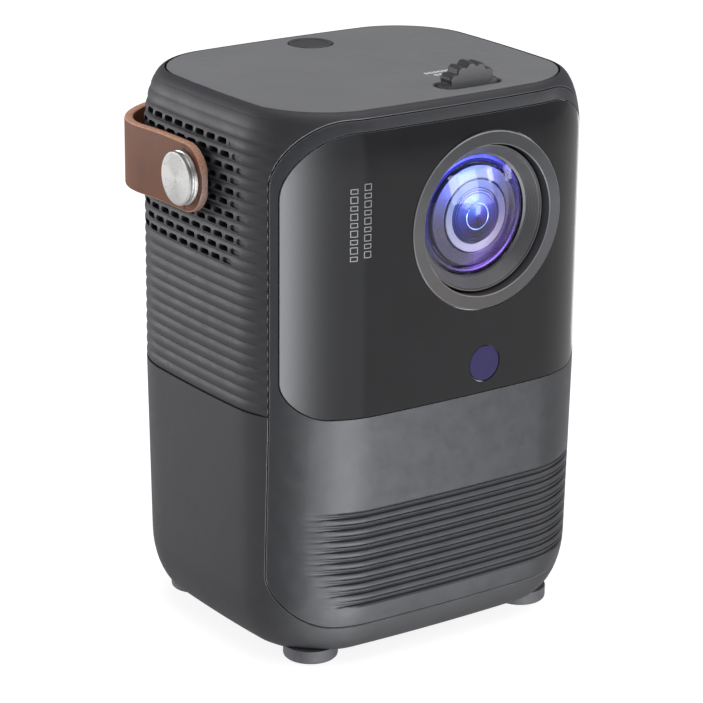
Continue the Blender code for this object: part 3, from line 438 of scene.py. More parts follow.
def carve(obj, *others):
    """Cuts other solids away in order, or as the operation beside one says, and removes them."""
    steps = [other if isinstance(other, tuple) else (other, "DIFFERENCE") for other in others]
    for other, operation in steps:
        modifier = obj.modifiers.new(other.name, "BOOLEAN")
        modifier.operation = operation
        modifier.solver = "MANIFOLD"
        modifier.object = other
    bpy.context.view_layer.update()
    graph = bpy.context.evaluated_depsgraph_get()
    mesh = bpy.data.meshes.new_from_object(obj.evaluated_get(graph))
    drop_empty_slots(mesh)
    obj.modifiers.clear()
    old = obj.data
    obj.data = mesh
    bpy.data.meshes.remove(old)
    for other, _ in steps:
        bpy.data.objects.remove(other, do_unlink=True)
    return obj


def finish_piece(obj, body, replaced=(), angle=32):
    """Shades a finished piece and ties it to its body and CAD nodes."""
    obj.data.shade_smooth()
    obj.data.set_sharp_from_angle(angle=math.radians(angle))
    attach(obj, body)
    if replaced:
        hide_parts(*replaced)


def arc(x, y, radius, start, end, steps):
    angles = [math.radians(start + (end - start) * i / steps) for i in range(steps + 1)]
    return [(x + radius * math.cos(a), y + radius * math.sin(a)) for a in angles]


def rounded_rectangle(half_x, low, high, top_radius, bottom_radius, steps=20):
    top, bottom = high - top_radius, low + bottom_radius
    outline = []
    for quarter, (side, y, radius) in enumerate(((1, top, top_radius), (-1, top, top_radius),
                                                 (-1, bottom, bottom_radius), (1, bottom, bottom_radius))):
        outline += arc(side * (half_x - radius), y, radius, 90 * quarter, 90 * quarter + 90, steps)
    return outline


def prism(name, outline, low, high, axis="z", offset=(0, 0, 0)):
    """An outline made thick along z, or along y, where the outline's second value is z."""
    ends = []
    for value in (low, high):
        points = [(u, v, value) if axis == "z" else (u, value, v) for u, v in outline]
        ends.append([[p + o for p, o in zip(point, offset)] for point in points])
    return loft(name, ends, outwards=True)


def box_solid(name, low, high):
    outline = [(low[0], low[1]), (high[0], low[1]), (high[0], high[1]), (low[0], high[1])]
    return prism(name, outline, low[2], high[2])


TURNS = {
    "z": Matrix.Identity(3),
    "-y": Matrix.Rotation(math.pi / 2, 3, "X"),
    "x": Matrix.Rotation(math.pi / 2, 3, "Y"),
    "-x": Matrix.Rotation(-math.pi / 2, 3, "Y"),
}


def turned(name, profile, centre, axis, steps=96, surfaces=()):
    """A profile of (radius, place along the axis) turned about an axis. Ends on the axis are closed."""
    around = np.linspace(0, 2 * math.pi, steps, endpoint=False)
    verts, faces, rows = [], [], []
    for radius, along in profile:
        angles = around if radius > 0 else [0.0]
        rows.append(range(len(verts), len(verts) + len(angles)))
        verts += [(radius * math.cos(a), radius * math.sin(a), along) for a in angles]
    loop = min(radius for radius, _ in profile) > 0
    for one, two in list(zip(rows, rows[1:])) + ([(rows[-1], rows[0])] if loop else []):
        for i in range(steps):
            j = (i + 1) % steps
            corners = (one[i % len(one)], one[j % len(one)], two[j % len(two)], two[i % len(two)])
            face = tuple(dict.fromkeys(corners))    # a ring on the axis is one point
            if len(face) > 2:
                faces.append(face)
    verts = [tuple(TURNS[axis] @ Vector(v) + Vector(centre)) for v in verts]
    return mesh_object(name, verts, faces, surfaces)


def cylinder(name, radius, low, high, centre, axis, steps):
    return turned(name, [(0, low), (radius, low), (radius, high), (0, high)], centre, axis, steps)


# --- the body's form

CORNER_STEPS = 22
SIDE_STEPS = (12, 12, 26, 12)    # back, left, front and right runs


def body_columns():
    """For each column of the body's grid, the point its corner or side turns about and its direction."""
    x = HALF_WIDTH - CORNER_RADIUS
    y = HALF_DEPTH - CORNER_RADIUS
    corners = ((x, y), (-x, y), (-x, -y), (x, -y))
    centres, directions = [], []
    for quarter in range(4):
        for i in range(CORNER_STEPS + 1):
            angle = math.radians(90 * (quarter + i / CORNER_STEPS))
            centres.append(corners[quarter])
            directions.append((math.cos(angle), math.sin(angle)))
        turn = math.radians(90 * quarter + 90)
        here, there = corners[quarter], corners[(quarter + 1) % 4]
        steps = SIDE_STEPS[quarter]
        for i in range(1, steps):
            share = i / steps
            centres.append(tuple(a + (b - a) * share for a, b in zip(here, there)))
            directions.append((math.cos(turn), math.sin(turn)))
    return np.array(centres), np.array(directions)


CENTRES, DIRECTIONS = body_columns()


def wall_inset(z):
    """How far the wall lies inside the body's full width and depth at a height."""
    z = np.asarray(z, float)
    inset = np.where(z < SEAM_Z, DRAFT * (SEAM_Z - z) / (SEAM_Z - BODY_BOTTOM), 0.0)
    across, up = TOP_ROUND
    share = np.clip((z - HOUSING_TOP + up) / up, 0, 1)
    inset = inset + across * (1 - np.sqrt(1 - share * share))
    across, up = BOTTOM_ROUND
    share = np.clip((BODY_BOTTOM + up - z) / up, 0, 1)
    return inset + across * (1 - np.sqrt(1 - share * share))


def body_points(inset):
    """Plan positions for every column, with an inset that may differ from point to point."""
    inset = np.asarray(inset, float)[..., None]
    plan = CENTRES + (CORNER_RADIUS - inset) * DIRECTIONS
    a = HALF_WIDTH - inset[..., 0]
    b = HALF_DEPTH - inset[..., 0]
    x = plan[..., 0] * (1 - SIDE_BULGE * (plan[..., 1] / b) ** 2)
    y = plan[..., 1] * (1 - FRONT_BULGE * (plan[..., 0] / a) ** 2)
    return x, y


def body_rings(heights, depth=None, shrink=0.0, scale=None):
    """Rings of the body at the given heights. depth(x, y, z) sinks the wall inwards."""
    heights = np.asarray(heights, float)
    columns = len(CENTRES)
    inset = np.repeat((wall_inset(heights) + shrink)[:, None], columns, axis=1)
    z = np.repeat(heights[:, None], columns, axis=1)
    if depth is not None:
        x, y = body_points(inset)
        inset = inset + depth(x, y, z)
    x, y = body_points(inset)
    if scale is not None:
        low, high = scale
        z = low + (z - BODY_BOTTOM) * (high - low) / (HOUSING_TOP - BODY_BOTTOM)
    return np.stack([x, y + BODY_Y, z], axis=-1)


def bottom_heights(steps=12):
    return [BODY_BOTTOM + BOTTOM_ROUND[1] * (1 - math.cos(math.pi / 2 * i / steps)) for i in range(steps + 1)]


def top_heights(steps=14):
    return [HOUSING_TOP - TOP_ROUND[1] * (1 - math.sin(math.pi / 2 * i / steps)) for i in range(steps + 1)]


def front_y(x, z):
    """y of the body's front surface, in the row frame, above a point of the front view."""
    inset = float(wall_inset(z))
    a = HALF_WIDTH - inset
    b = HALF_DEPTH - inset
    radius = CORNER_RADIUS - inset
    edge_x = HALF_WIDTH - CORNER_RADIUS
    edge_y = HALF_DEPTH - CORNER_RADIUS
    flat_x, y = x, -b
    for _ in range(12):    # undoes the bulge of the sides step by step
        reach = min(max(abs(flat_x) - edge_x, 0), radius * 0.999)
        y = -(edge_y + math.sqrt(radius * radius - reach * reach))
        flat_x = x / (1 - SIDE_BULGE * (y / b) ** 2)
    return y * (1 - FRONT_BULGE * (flat_x / a) ** 2) + BODY_Y


def front_point(x, z):
    return Vector((x, front_y(x, z), z))


def seam_cutter(name, shape, size):
    """A diamond-section tube along a front seam: it cuts a small V with a chamfer on either side."""
    outline = rounded_rectangle(*shape)
    points = []
    for (x, z), following in zip(outline, outline[1:] + outline[:1]):
        pieces = max(1, int(math.dist((x, z), following) / 0.004))
        for k in range(pieces):
            points.append(front_point(x + (following[0] - x) * k / pieces,
                                      z + (following[1] - z) * k / pieces))
    step = 0.0004
    rings = []
    for i, point in enumerate(points):
        tangent = (points[(i + 1) % len(points)] - points[i - 1]).normalized()
        inward = -step if point.x > 0 else step
        across = front_point(point.x + inward, point.z) - point
        rise = front_point(point.x, point.z - step) - point
        normal = across.cross(rise).normalized()
        if normal.y > 0:
            normal.negate()
        side = tangent.cross(normal).normalized()
        rings.append([point + side * size, point + normal * size * 1.3,
                      point - side * size, point - normal * size])
    cutter = closed_loft(name, rings)
    # The chamfers' second material is the lighter plastic, a painted highlight along each seam.
    for polygon in cutter.data.polygons:
        polygon.material_index = 1    # the chamfers take the carved piece's second material
    return cutter


def shell_seam_cutter(size=SHELL_SEAM):
    """The same V round the whole body at the seam between the shells."""
    rings = []
    for inset, rise in ((-size * 1.3, 0), (0, size), (size, 0), (0, -size)):
        x, y = body_points(np.full(len(CENTRES), float(wall_inset(SEAM_Z)) + inset))
        rings.append(np.stack([x, y + BODY_Y, np.full(len(x), SEAM_Z + rise)], axis=-1))
    return closed_loft("seam_v", np.array(rings).transpose(1, 0, 2))


FRONT_CUT_BACK = -0.0300 + BODY_Y
FRONT_CUT_START = -0.0750
TOP_SKIN_START = -0.0475 + BODY_Y    # the shells' skin reaches forward to here over the bezel


def front_prism(name, shape, grow):
    """A front outline run back through the body, but not into the skin of its top."""
    half, bottom, *rest = shape
    outline = rounded_rectangle(half + grow, bottom - grow, *(value + grow for value in rest))
    block = prism(name, outline, FRONT_CUT_START, FRONT_CUT_BACK, "y")
    relief_low, relief_high = (-0.0495, TOP_SKIN_START + grow, 0.1800), (0.0495, -0.02, 0.21)
    return carve(block, box_solid(name + "_relief", relief_low, relief_high))


def inner_form():
    """The hollow inside the shells."""
    heights = bottom_heights(5) + [SEAM_Z] + top_heights(6)
    scale = (BODY_BOTTOM + WALL, INNER_TOP)
    return loft("inner_form", body_rings(heights, shrink=WALL, scale=scale))


# --- ribs and vents

RIB_DEPTH = 0.00062
RIB_ROWS = (0.0, 0.035, 0.10, 0.20, 0.35, 0.50, 0.65, 0.80, 0.90, 0.965)    # shares of the pitch
RIBS_END = SEAM_Z + RIB_PITCH * RIB_COUNT
RIB_FRONT_FADE = (-0.0425, -0.0320)    # from no rib to a full one, along y
RIB_TOP_FADE = (0.178, 0.190)    # up to here the ribs lose most of their depth


def rib_depth(x, y, z):
    """Scalloped ribs round the sides and the back, fading before the front corners and into the top."""
    along = (z - SEAM_Z) / RIB_PITCH
    share = along - np.floor(along)
    shape = (2 * share - 1) ** 2
    fade = smoothstep(*RIB_FRONT_FADE, y) * (1 - 0.75 * smoothstep(*RIB_TOP_FADE, z))
    fade = np.where((z > SEAM_Z + 0.0001) & (z < RIBS_END), fade, 0)
    return RIB_DEPTH * shape * fade


def upper_heights():
    heights = [SEAM_Z - 0.004]
    for rib in range(RIB_COUNT):
        heights += [SEAM_Z + RIB_PITCH * (rib + share) for share in RIB_ROWS]
    return heights + [RIBS_END + (HOUSING_TOP - RIBS_END) * (1 - (1 - i / 10) ** 2) for i in range(11)]


VENT_PITCH = 0.0066
VENT_LENGTH = 0.0053
VENT_HEIGHT = 0.0020
VENT_ROWS = 11
VENT_TOP_RIB = 22.5    # the highest row is in the middle of this rib
VENT_START = -0.0278
VENT_STAGGER = 0.0035
VENT_END = 0.0345
VENT_SHIFTS = {0: 0.0050, 1: -0.0008, 10: 0.0080}    # rows that start further back or forward
VENT_OUTSIDE = 0.0720
VENT_THROUGH = 0.0560
VENT_BLIND = 0.0662    # the first slot of each row stops in the wall


def vent_slots():
    """(outline in y and z, x where the slot ends) of every slot."""
    end = VENT_HEIGHT / 2
    half = VENT_LENGTH / 2 - end
    for row in range(VENT_ROWS):
        z = SEAM_Z + RIB_PITCH * (VENT_TOP_RIB - row)
        start = VENT_START + (VENT_STAGGER if row % 2 else 0) + VENT_SHIFTS.get(row, 0)
        for i in range(int((VENT_END - start) / VENT_PITCH) + 1):
            y = start + VENT_PITCH * i + BODY_Y
            outline = arc(y + half, z, end, -90, 90, 6) + arc(y - half, z, end, 90, 270, 6)
            yield outline, VENT_BLIND if i == 0 else VENT_THROUGH


def vent_cutter():
    """Staggered round-ended slots through both sides, one row in the middle of each rib."""
    verts, faces = [], []
    for outline, depth in vent_slots():
        count = len(outline)
        for ends in ((-VENT_OUTSIDE, -depth), (depth, VENT_OUTSIDE)):
            base = len(verts)
            verts += [(x, y, z) for x in ends for y, z in outline]
            faces += [range(base + count - 1, base - 1, -1), range(base + count, base + 2 * count)]
            for i in range(count):
                j = (i + 1) % count
                faces.append((base + i, base + j, base + count + j, base + count + i))
    return mesh_object("vents", verts, [tuple(face) for face in faces])


WHEEL_SLOT = (0.0246, 0.0106)
AXLE_NOTCH = 0.0032
PIN_HOLE = 0.0033
STEM_HOLE = 0.0032


def wheel_slot_prism(name, grow, low, high):
    half_x, half_y = [side / 2 + grow for side in WHEEL_SLOT]
    outline = rounded_rectangle(half_x, -half_y, half_y, half_y * 0.85, half_y * 0.85, 10)
    return prism(name, outline, low, high, offset=(WHEEL_X, WHEEL_Y, 0))


def cover_outline(inset):
    x, y = body_points(np.full(len(CENTRES), COVER_INSET + inset))
    return list(zip(x.tolist(), (y + BODY_Y).tolist()))


def case_cutters(beyond):
    """What a shell loses: the hollow, all that is beyond its seam, the way for the bezel, and chamfers."""
    return [
        inner_form(),
        beyond,
        front_prism("opening", BEZEL, GAP / 2),
        seam_cutter("bezel_v", BEZEL, BEZEL_SEAM[0]),
        shell_seam_cutter(),
    ]


def upper_housing():
    shell = loft("case_upper", body_rings(upper_heights(), rib_depth), [housing_plastic, edge_shine])
    floor = COVER_TOP - COVER_THICKNESS - GAP
    pin = cylinder("pin_holes", PIN_HOLE, -0.08, 0.08, STRAP_PIVOT, "x", 32)
    stem = cylinder("stem_hole", STEM_HOLE, 0.18, 0.195, BUTTON, "z", 32)
    notch = box_solid("notch", (WHEEL_X - AXLE_NOTCH, -0.0455 + BODY_Y, 0.1860),
                      (WHEEL_X + AXLE_NOTCH, -0.0305 + BODY_Y, 0.1935))
    carve(
        shell,
        *case_cutters(box_solid("below", (-0.1, -0.1, -0.01), (0.1, 0.1, SEAM_Z + GAP / 2))),
        prism("pocket", cover_outline(-COVER_GAP), floor, ABOVE),
        wheel_slot_prism("wheel_way", 0, 0.186, ABOVE),
        notch,
        stem,
        pin,
        vent_cutter(),
    )
    finish_piece(shell, "case", ["upper_housing"])


def foot_places():
    corners = ("front_left", "front_right", "back_left", "back_right")
    return {corner: middle_of("foot_" + corner)[:2] for corner in corners}


FOOT_BOSS = 0.0118
FOOT_POCKET = 0.00965
TRIPOD_HOLE = 0.0058
SPEAKER_SLOTS = 5
SPEAKER_SLOT_PITCH = 0.0045
SPEAKER_SLOT_START = -0.0400
SPEAKER_SLOT_HALF = 0.018


def lower_housing():
    heights = bottom_heights() + [0.035, 0.05, 0.07, SEAM_Z - 0.001, SEAM_Z + 0.003]
    shell = loft("case_lower", body_rings(heights), [housing_plastic, edge_shine])
    steps = case_cutters(box_solid("above", (-0.1, -0.1, SEAM_Z - GAP / 2), (0.1, 0.1, ABOVE)))
    for corner, (x, y) in foot_places().items():
        boss = cylinder("boss_" + corner, FOOT_BOSS, 0.0042, 0.0078, (x, y, 0), "z", 48)
        outer = loft("outer", body_rings(bottom_heights() + [SEAM_Z], shrink=0.0001))
        carve(boss, (outer, "INTERSECT"))
        steps.append((boss, "UNION"))
        steps.append(cylinder("pocket_" + corner, FOOT_POCKET, -0.01, 0.0051, (x, y, 0), "z", 64))
    port_low, port_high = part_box("port_plate")
    outline = rounded_rectangle(port_high.x + GAP, port_low.z - GAP, port_high.z + GAP, 0.004, 0.004, 8)
    steps.append(prism("ports", outline, 0.0460 + BODY_Y, 0.070, "y"))
    steps.append(cylinder("tripod", TRIPOD_HOLE, -0.01, 0.012, (0, BODY_Y, 0), "z", 48))
    for i in range(SPEAKER_SLOTS):
        y = SPEAKER_SLOT_START + SPEAKER_SLOT_PITCH * i + BODY_Y
        outline = rounded_rectangle(SPEAKER_SLOT_HALF, y - 0.0010, y + 0.0010, 0.00099, 0.00099, 6)
        steps.append(prism(f"slot_{i}", outline, -0.01, 0.0080))
    carve(shell, *steps)
    finish_piece(shell, "case", ["lower_housing"])


# --- front

GROOVE_DEPTH = 0.00120
GROOVE_HALF = 0.00068
FINE_DEPTH = 0.00055
FINE_HALF = 0.00036
FINE_RISE = 0.00165
GROOVE_LEFT_END = 0.0545
GROOVE_RIGHT_END = 0.0610
GROOVE_TAPER = 0.011
GROOVE_ROWS = (-0.00062, -0.00056, -0.0004, -0.0002, 0, 0.0002, 0.0004, 0.00056, 0.00062,
               0.0009, 0.00131, 0.00137, 0.0015, 0.00165, 0.0018, 0.00193, 0.00199, 0.0026)


def groove_depth(x, y, z):
    """Nine tapered grooves low on the front: each a deep line with a bead and a fine line above it."""
    index = np.round((GROOVE_TOP - z) / GROOVE_PITCH)
    index = np.clip(index, 0, GROOVE_COUNT - 1)
    t = z - (GROOVE_TOP - index * GROOVE_PITCH)
    deep = np.clip(1 - (t / GROOVE_HALF) ** 2, 0, 1) ** 0.6
    fine = np.clip(1 - ((t - FINE_RISE) / FINE_HALF) ** 2, 0, 1) ** 0.6
    left_end = GROOVE_LEFT_END - np.clip(index - 5, 0, 3) * 0.0018    # the lowest are shorter
    fade = 1 - smoothstep(left_end - GROOVE_TAPER, left_end, np.where(x < 0, -x, 0))
    fade = fade * (1 - smoothstep(GROOVE_RIGHT_END - GROOVE_TAPER, GROOVE_RIGHT_END, np.where(x > 0, x, 0)))
    fade = np.where(y < 0, fade, 0)
    return (GROOVE_DEPTH * deep + FINE_DEPTH * fine) * fade


def bezel_heights():
    heights = bottom_heights() + top_heights()
    for i in range(GROOVE_COUNT):
        heights += [GROOVE_TOP - i * GROOVE_PITCH + offset for offset in GROOVE_ROWS]
    heights += [0.062, 0.07, 0.08, SEAM_Z - 0.0005, SEAM_Z, 0.10, 0.12, 0.14, 0.155]
    return sorted(set(round(h, 6) for h in heights))


def plain_heights():
    """Rows for the gloss panel, close together at its foot, where its outline crosses them."""
    foot = [SEAM_Z + 0.0012 * i for i in range(13)]
    return sorted(set(bottom_heights() + [0.05, SEAM_Z - 0.001, 0.11, 0.12, 0.15] + foot + top_heights(18)))


def front_bore(name, radius, x, z, steps=128):
    return cylinder(name, radius, 0.03, 0.08, (x, 0, z), "-y", steps)


def front_bezel():
    bezel = loft("front_frame", body_rings(bezel_heights(), groove_depth), [bezel_plastic, edge_shine])
    pocket = front_prism("panel_pocket", PANEL, GAP / 2)
    carve(pocket, loft("pocket_form", body_rings(plain_heights(), shrink=PANEL_THICKNESS + GAP)))
    carve(
        bezel,
        (front_prism("bezel_prism", BEZEL, -GAP / 2), "INTERSECT"),
        inner_form(),
        pocket,
        front_bore("lens_way", RING_RADIUS - 0.0017, LENS_X, LENS_Z),
        front_bore("ir_way", 0.0046, IR_X, IR_Z, 48),
        seam_cutter("bezel_v", BEZEL, BEZEL_SEAM[1]),
        seam_cutter("panel_v", PANEL, PANEL_SEAM[0]),
    )
    finish_piece(bezel, "case", ["front_bezel"])


def front_panel():
    panel = loft("front_gloss_panel", body_rings(plain_heights()), [gloss_plastic, edge_shine])
    back = loft("panel_back", body_rings(plain_heights(), shrink=PANEL_THICKNESS))
    carve(
        panel,
        (front_prism("panel_prism", PANEL, -GAP / 2), "INTERSECT"),
        back,
        front_bore("ring_way", RING_RADIUS + GAP, LENS_X, LENS_Z),
        front_bore("ir_way", 0.0064, IR_X, IR_Z, 64),
        seam_cutter("panel_v", PANEL, PANEL_SEAM[1]),
    )
    finish_piece(panel, "case", ["front_panel"])


def ir_window():
    face = HALF_DEPTH - BODY_Y
    profile = [(0, face - 0.0012), (0.0061, face - 0.0012), (0.0061, face - 0.0003),
               (0.0059, face - 0.0001), (0, face - 0.00005)]
    window = turned("ir_eye", profile, (IR_X, 0, IR_Z), "-y", 64, [ir_plastic])
    finish_piece(window, "case", ["ir_window"])


# --- top


def top_cover():
    low, top = COVER_TOP - COVER_THICKNESS, COVER_TOP
    edge = [(0.0004, low), (0, low + 0.0004), (0, top - 0.00035), (0.00010, top - 0.00012), (0.00035, top)]
    rings = [[(x, y, z) for x, y in cover_outline(inset)] for inset, z in edge]
    cover = loft("top_plate", rings, [cover_plastic, gasket_black])
    # The plate's lower chamfer and side wall are painted near black as the shade in the gap.
    for polygon in cover.data.polygons[:2 * len(CENTRES)]:
        polygon.material_index = 1    # the side wall, dark in the gap
    bore, lip = BUTTON_BORE, BUTTON_BORE + 0.0003
    profile = [(0, 0.18), (bore, 0.18), (bore, top - 0.0002), (lip, top + 0.0001), (lip, ABOVE), (0, ABOVE)]
    hole = turned("button_hole", profile, BUTTON, "z", 96)
    slot_lip = wheel_slot_prism("slot_lip", 0.0003, top - 0.00025, ABOVE)
    carve(cover, hole, wheel_slot_prism("slot", 0, 0.18, ABOVE), slot_lip)
    finish_piece(cover, "case", ["top_cover"])


def power_button():
    top = COVER_TOP + 0.0002
    profile = [
        (0, 0.1850), (0.0025, 0.1850), (0.0025, 0.1904), (0.0077, 0.1904), (0.0077, top - 0.0004),
        (0.00762, top - 0.00015), (0.0074, top), (0.0062, top), (0.0060, top - 0.00025),
        (0.0020, top - 0.00035), (0, top - 0.00035),
    ]
    button = turned("power_key", profile, BUTTON, "z", 96, [black_plastic])
    finish_piece(button, "button_body", ["power_button"])


# --- focus wheel

WHEEL_LOBES = 15
LOBE_DEPTH = 0.00058
LOBE_WIDTH = 1.9    # above 1 the lobes are wider than the valleys


def focus_wheel():
    """Scalloped wheel: lobes with slightly rolled edges and two flat faces."""
    count = WHEEL_LOBES * 12
    pitch_radius = (wheel_high.z - wheel_low.z) / 2 - 0.0005
    start = math.atan2(LENS_Z - WHEEL_Z, LENS_X - WHEEL_X)    # a lobe points at the toothed ring
    half = (wheel_high.y - wheel_low.y) / 2
    edge = [(0, 0.8, 0.0004), (0.00015, 0.92, 0.00018), (0.0004, 1.0, 0.00003), (0.0007, 1.0, 0.0)]
    sections = [(inwards - half, reach, shrink) for inwards, reach, shrink in edge]
    sections += [(half - inwards, reach, shrink) for inwards, reach, shrink in edge[::-1]]
    rings = []
    for along, reach, shrink in sections:
        ring = []
        for i in range(count):
            angle = 2 * math.pi * i / count
            wave = 1 - 2 * ((1 - math.cos(WHEEL_LOBES * (angle - start))) / 2) ** LOBE_WIDTH
            radius = pitch_radius + LOBE_DEPTH * wave * (0.35 + 0.65 * reach) - shrink
            x, z = radius * math.cos(angle), radius * math.sin(angle)
            ring.append((WHEEL_X + x, WHEEL_Y + along, WHEEL_Z + z))
        rings.append(ring)
    wheel = loft("focus_thumbwheel", rings, [lobe_plastic, wheel_plastic], outwards=True)
    for flat in wheel.data.polygons[-2:]:
        flat.material_index = 1
    carve(wheel, cylinder("bore", 0.0018, 0.02, 0.06, (WHEEL_X, 0, WHEEL_Z), "-y", 24))
    finish_piece(wheel, "focus_wheel_body", ["focus_wheel"])


# --- lens

RING_STEPS = 160
RING_BORE = 0.0257
RING_BACK = 0.0500 - BODY_Y
LENS_AXIS = (LENS_X, 0, LENS_Z)
LENS_STEPS = 128
RIDGES = 10
MOUTH_RADIUS = 0.0240
MOUTH_FRONT = 0.0550 - BODY_Y
TUBE_BACK = 0.0180 - BODY_Y
GLASS_RADIUS = 0.0209
GLASS_RISE = 0.0046
GLASS_THICKNESS = 0.0005


def lens_trim_ring():
    face = -ring_low.y
    r = RING_RADIUS
    profile = [
        (r, face - 0.0013), (r, face - 0.00032), (r - 0.00032, face), (r - 0.0007, face), (0.0264, face),
        (0.0260, face), (RING_BORE, face - 0.0003), (RING_BORE, RING_BACK), (r - 0.0020, RING_BACK),
        (r - 0.0020, face - 0.0013),
    ]
    # The ring's tint round the lens axis is painted shade and light.
    satin = coating_with_painted_light("satin_anodised", SATIN_PAINTED_SHADE, 0.36, 0.0, 0.0, 0.36)
    ring = turned("lens_surround", profile, LENS_AXIS, "-y", RING_STEPS, [satin, cut_edge])
    # The two chamfers are pale grey, partly the bare cut edge and partly a painted highlight.
    for number, polygon in enumerate(ring.data.polygons):
        polygon.material_index = 1 if number // RING_STEPS in (1, 5) else 0    # the two chamfers
    finish_piece(ring, "case", ["lens_trim_ring"], 28)


def barrel_profile():
    """Mouth with fine glare-stopping ridges, glass pocket and tube."""
    front = MOUTH_FRONT
    profile = [(0.0250, TUBE_BACK), (0.0250, front - 0.0003), (0.0247, front), (0.0243, front),
               (0.0241, front - 0.0003)]
    inner, back = GLASS_RADIUS + 0.0002, 0.0506 - BODY_Y
    for i in range(RIDGES):
        share = (i + 0.5) / RIDGES
        radius = MOUTH_RADIUS + (inner - MOUTH_RADIUS) * share
        place = front - 0.0004 + (back - front + 0.0004) * share
        profile += [(radius + 0.00012, place + 0.00016), (radius - 0.00010, place - 0.00004)]
    seat = [(GLASS_RADIUS - 0.0004, 0.0504), (GLASS_RADIUS - 0.0004, 0.0502), (GLASS_RADIUS + 0.0003, 0.0500),
            (GLASS_RADIUS + 0.0003, 0.0450), (0.0172, 0.0400), (0.0172, 0.0180)]
    return profile + [(radius, along - BODY_Y) for radius, along in seat]


def lens_barrel():
    surfaces = [barrel_grey, ridge_shine]
    barrel = turned("focus_barrel", barrel_profile(), LENS_AXIS, "-y", LENS_STEPS, surfaces)
    # The lip's front face and one face of each ridge take the lighter plastic as a painted highlight.
    for number, polygon in enumerate(barrel.data.polygons):
        row = number // LENS_STEPS
        polygon.material_index = 1 if row == 2 or (5 <= row < 5 + 2 * RIDGES and row % 2) else 0
    finish_piece(barrel, "lens_body", ["lens_barrel"], 40)


def dome(radius, front, rise, steps):
    return [(radius * i / steps, front + rise * (1 - (i / steps) ** 2)) for i in range(steps + 1)]


def front_element():
    """Thin domed front glass."""
    outside = dome(GLASS_RADIUS, 0.0498 - BODY_Y, GLASS_RISE, 16)
    inside = [(radius * 0.995, along - GLASS_THICKNESS) for radius, along in outside]
    coated = clear_glass("coated_glass", (0.90, 0.92, 1.0), (0.75, 0.72, 1.0))
    glass = turned("front_glass", outside + inside[::-1], LENS_AXIS, "-y", 96, [coated])
    finish_piece(glass, "lens_body", ["front_lens_element"], 30)


# Tints for the pieces behind the front glass: painted reflections of the coating, and on the second glass
# painted shade.
BLUE = (0.055, 0.060, 0.50)
SKY_BLUE = (0.075, 0.11, 0.46)
DUSK = (0.11, 0.12, 0.36)
VIOLET = (0.34, 0.21, 0.64)
DEEP_VIOLET = (0.11, 0.06, 0.26)
GREY = (0.19, 0.17, 0.23)
LILAC = (0.62, 0.56, 0.72)
NIGHT = (0.012, 0.008, 0.040)
PALE_BLUE = (0.22, 0.28, 0.62)


def inside_ring(name, profile, stops, roughness, coat=0.0, steps=LENS_STEPS, angle=32):
    """One coated piece behind the front glass. Its profile is measured from the middle of the body."""
    profile = [(radius, along - BODY_Y) for radius, along in profile]
    surface = coating_with_painted_light(name, stops, roughness, coat)
    piece = turned("lens_" + name, profile, LENS_AXIS, "-y", steps, [surface])
    finish_piece(piece, "lens_body", angle=angle)


def lens_inside():
    """Coated rings and the second glass, close behind the front glass. Their tints round the lens axis are
    painted reflections of the coating: blue towards the top, violet, grey or lilac elsewhere, and on the
    second glass painted shade down to near black at the bottom.
    """
    inside_ring(
        "outer_ring",
        [(0.0205, 0.0488), (0.0203, 0.0492), (0.0192, 0.0495), (0.0186, 0.0493), (0.0183, 0.0495),
         (0.0179, 0.0492), (0.0179, 0.0470), (0.0205, 0.0470)],
        [(0, DEEP_VIOLET), (0.15, shade(GREY, 0.5)), (0.35, BLUE), (0.6, BLUE), (0.8, DEEP_VIOLET),
         (1, DEEP_VIOLET)], 0.25)
    inside_ring(
        "inner_cone",
        [(0.0171, 0.0500), (0.0169, 0.0503), (0.0129, 0.0510), (0.0127, 0.0508), (0.0127, 0.0480),
         (0.0171, 0.0480)],
        [(0, VIOLET), (0.10, GREY), (0.24, GREY), (0.36, DUSK), (0.5, SKY_BLUE), (0.62, DUSK), (0.75, GREY),
         (0.88, VIOLET), (1, VIOLET)], 0.24)
    inside_ring(
        "pale_ring",
        [(0.0123, 0.0490), (0.0123, 0.0510), (0.0121, 0.0512), (0.0097, 0.0511), (0.0095, 0.0509),
         (0.0095, 0.0490)],
        [(0, LILAC), (0.25, (0.52, 0.54, 0.72)), (0.42, (0.20, 0.32, 0.66)), (0.6, (0.16, 0.22, 0.56)),
         (0.78, (0.28, 0.24, 0.42)), (0.9, (0.50, 0.42, 0.60)), (1, LILAC)], 0.28)
    inside_ring(
        "second_glass",
        dome(0.0076, 0.0512, 0.0010, 12)
        + [(0.0077, 0.0510), (0.0080, 0.0512), (0.0084, 0.05115), (0.0085, 0.0509), (0.0088, 0.0511),
           (0.0093, 0.0509), (0.0093, 0.0490), (0, 0.0490)],
        [(0, NIGHT), (0.14, (0.030, 0.020, 0.16)), (0.3, (0.040, 0.060, 0.40)), (0.5, (0.075, 0.150, 0.56)),
         (0.7, (0.050, 0.050, 0.40)), (0.86, (0.040, 0.018, 0.16)), (1, NIGHT)], 0.45, 0.7,
        angle=20)
    inside_ring(
        "small_ring",
        [(0.0046, 0.0521), (0.0046, 0.05215), (0.0044, 0.05225), (0.0042, 0.05215), (0.0042, 0.0521)],
        [(0, PALE_BLUE), (0.5, (0.32, 0.48, 0.80)), (1, PALE_BLUE)], 0.3, 0.0, 96)


# --- strap

STRAP_WIDTH = 0.0235
STRAP_THICKNESS = 0.0030
STRAP_SIDE_X = 0.0704
STRAP_CORNER = 0.0360
STRAP_BACK_Y = 0.0621
STRAP_FRONT_Y = -0.0120
STRAP_DROOP = 0.0024
STRAP_END_RADIUS = 0.0104


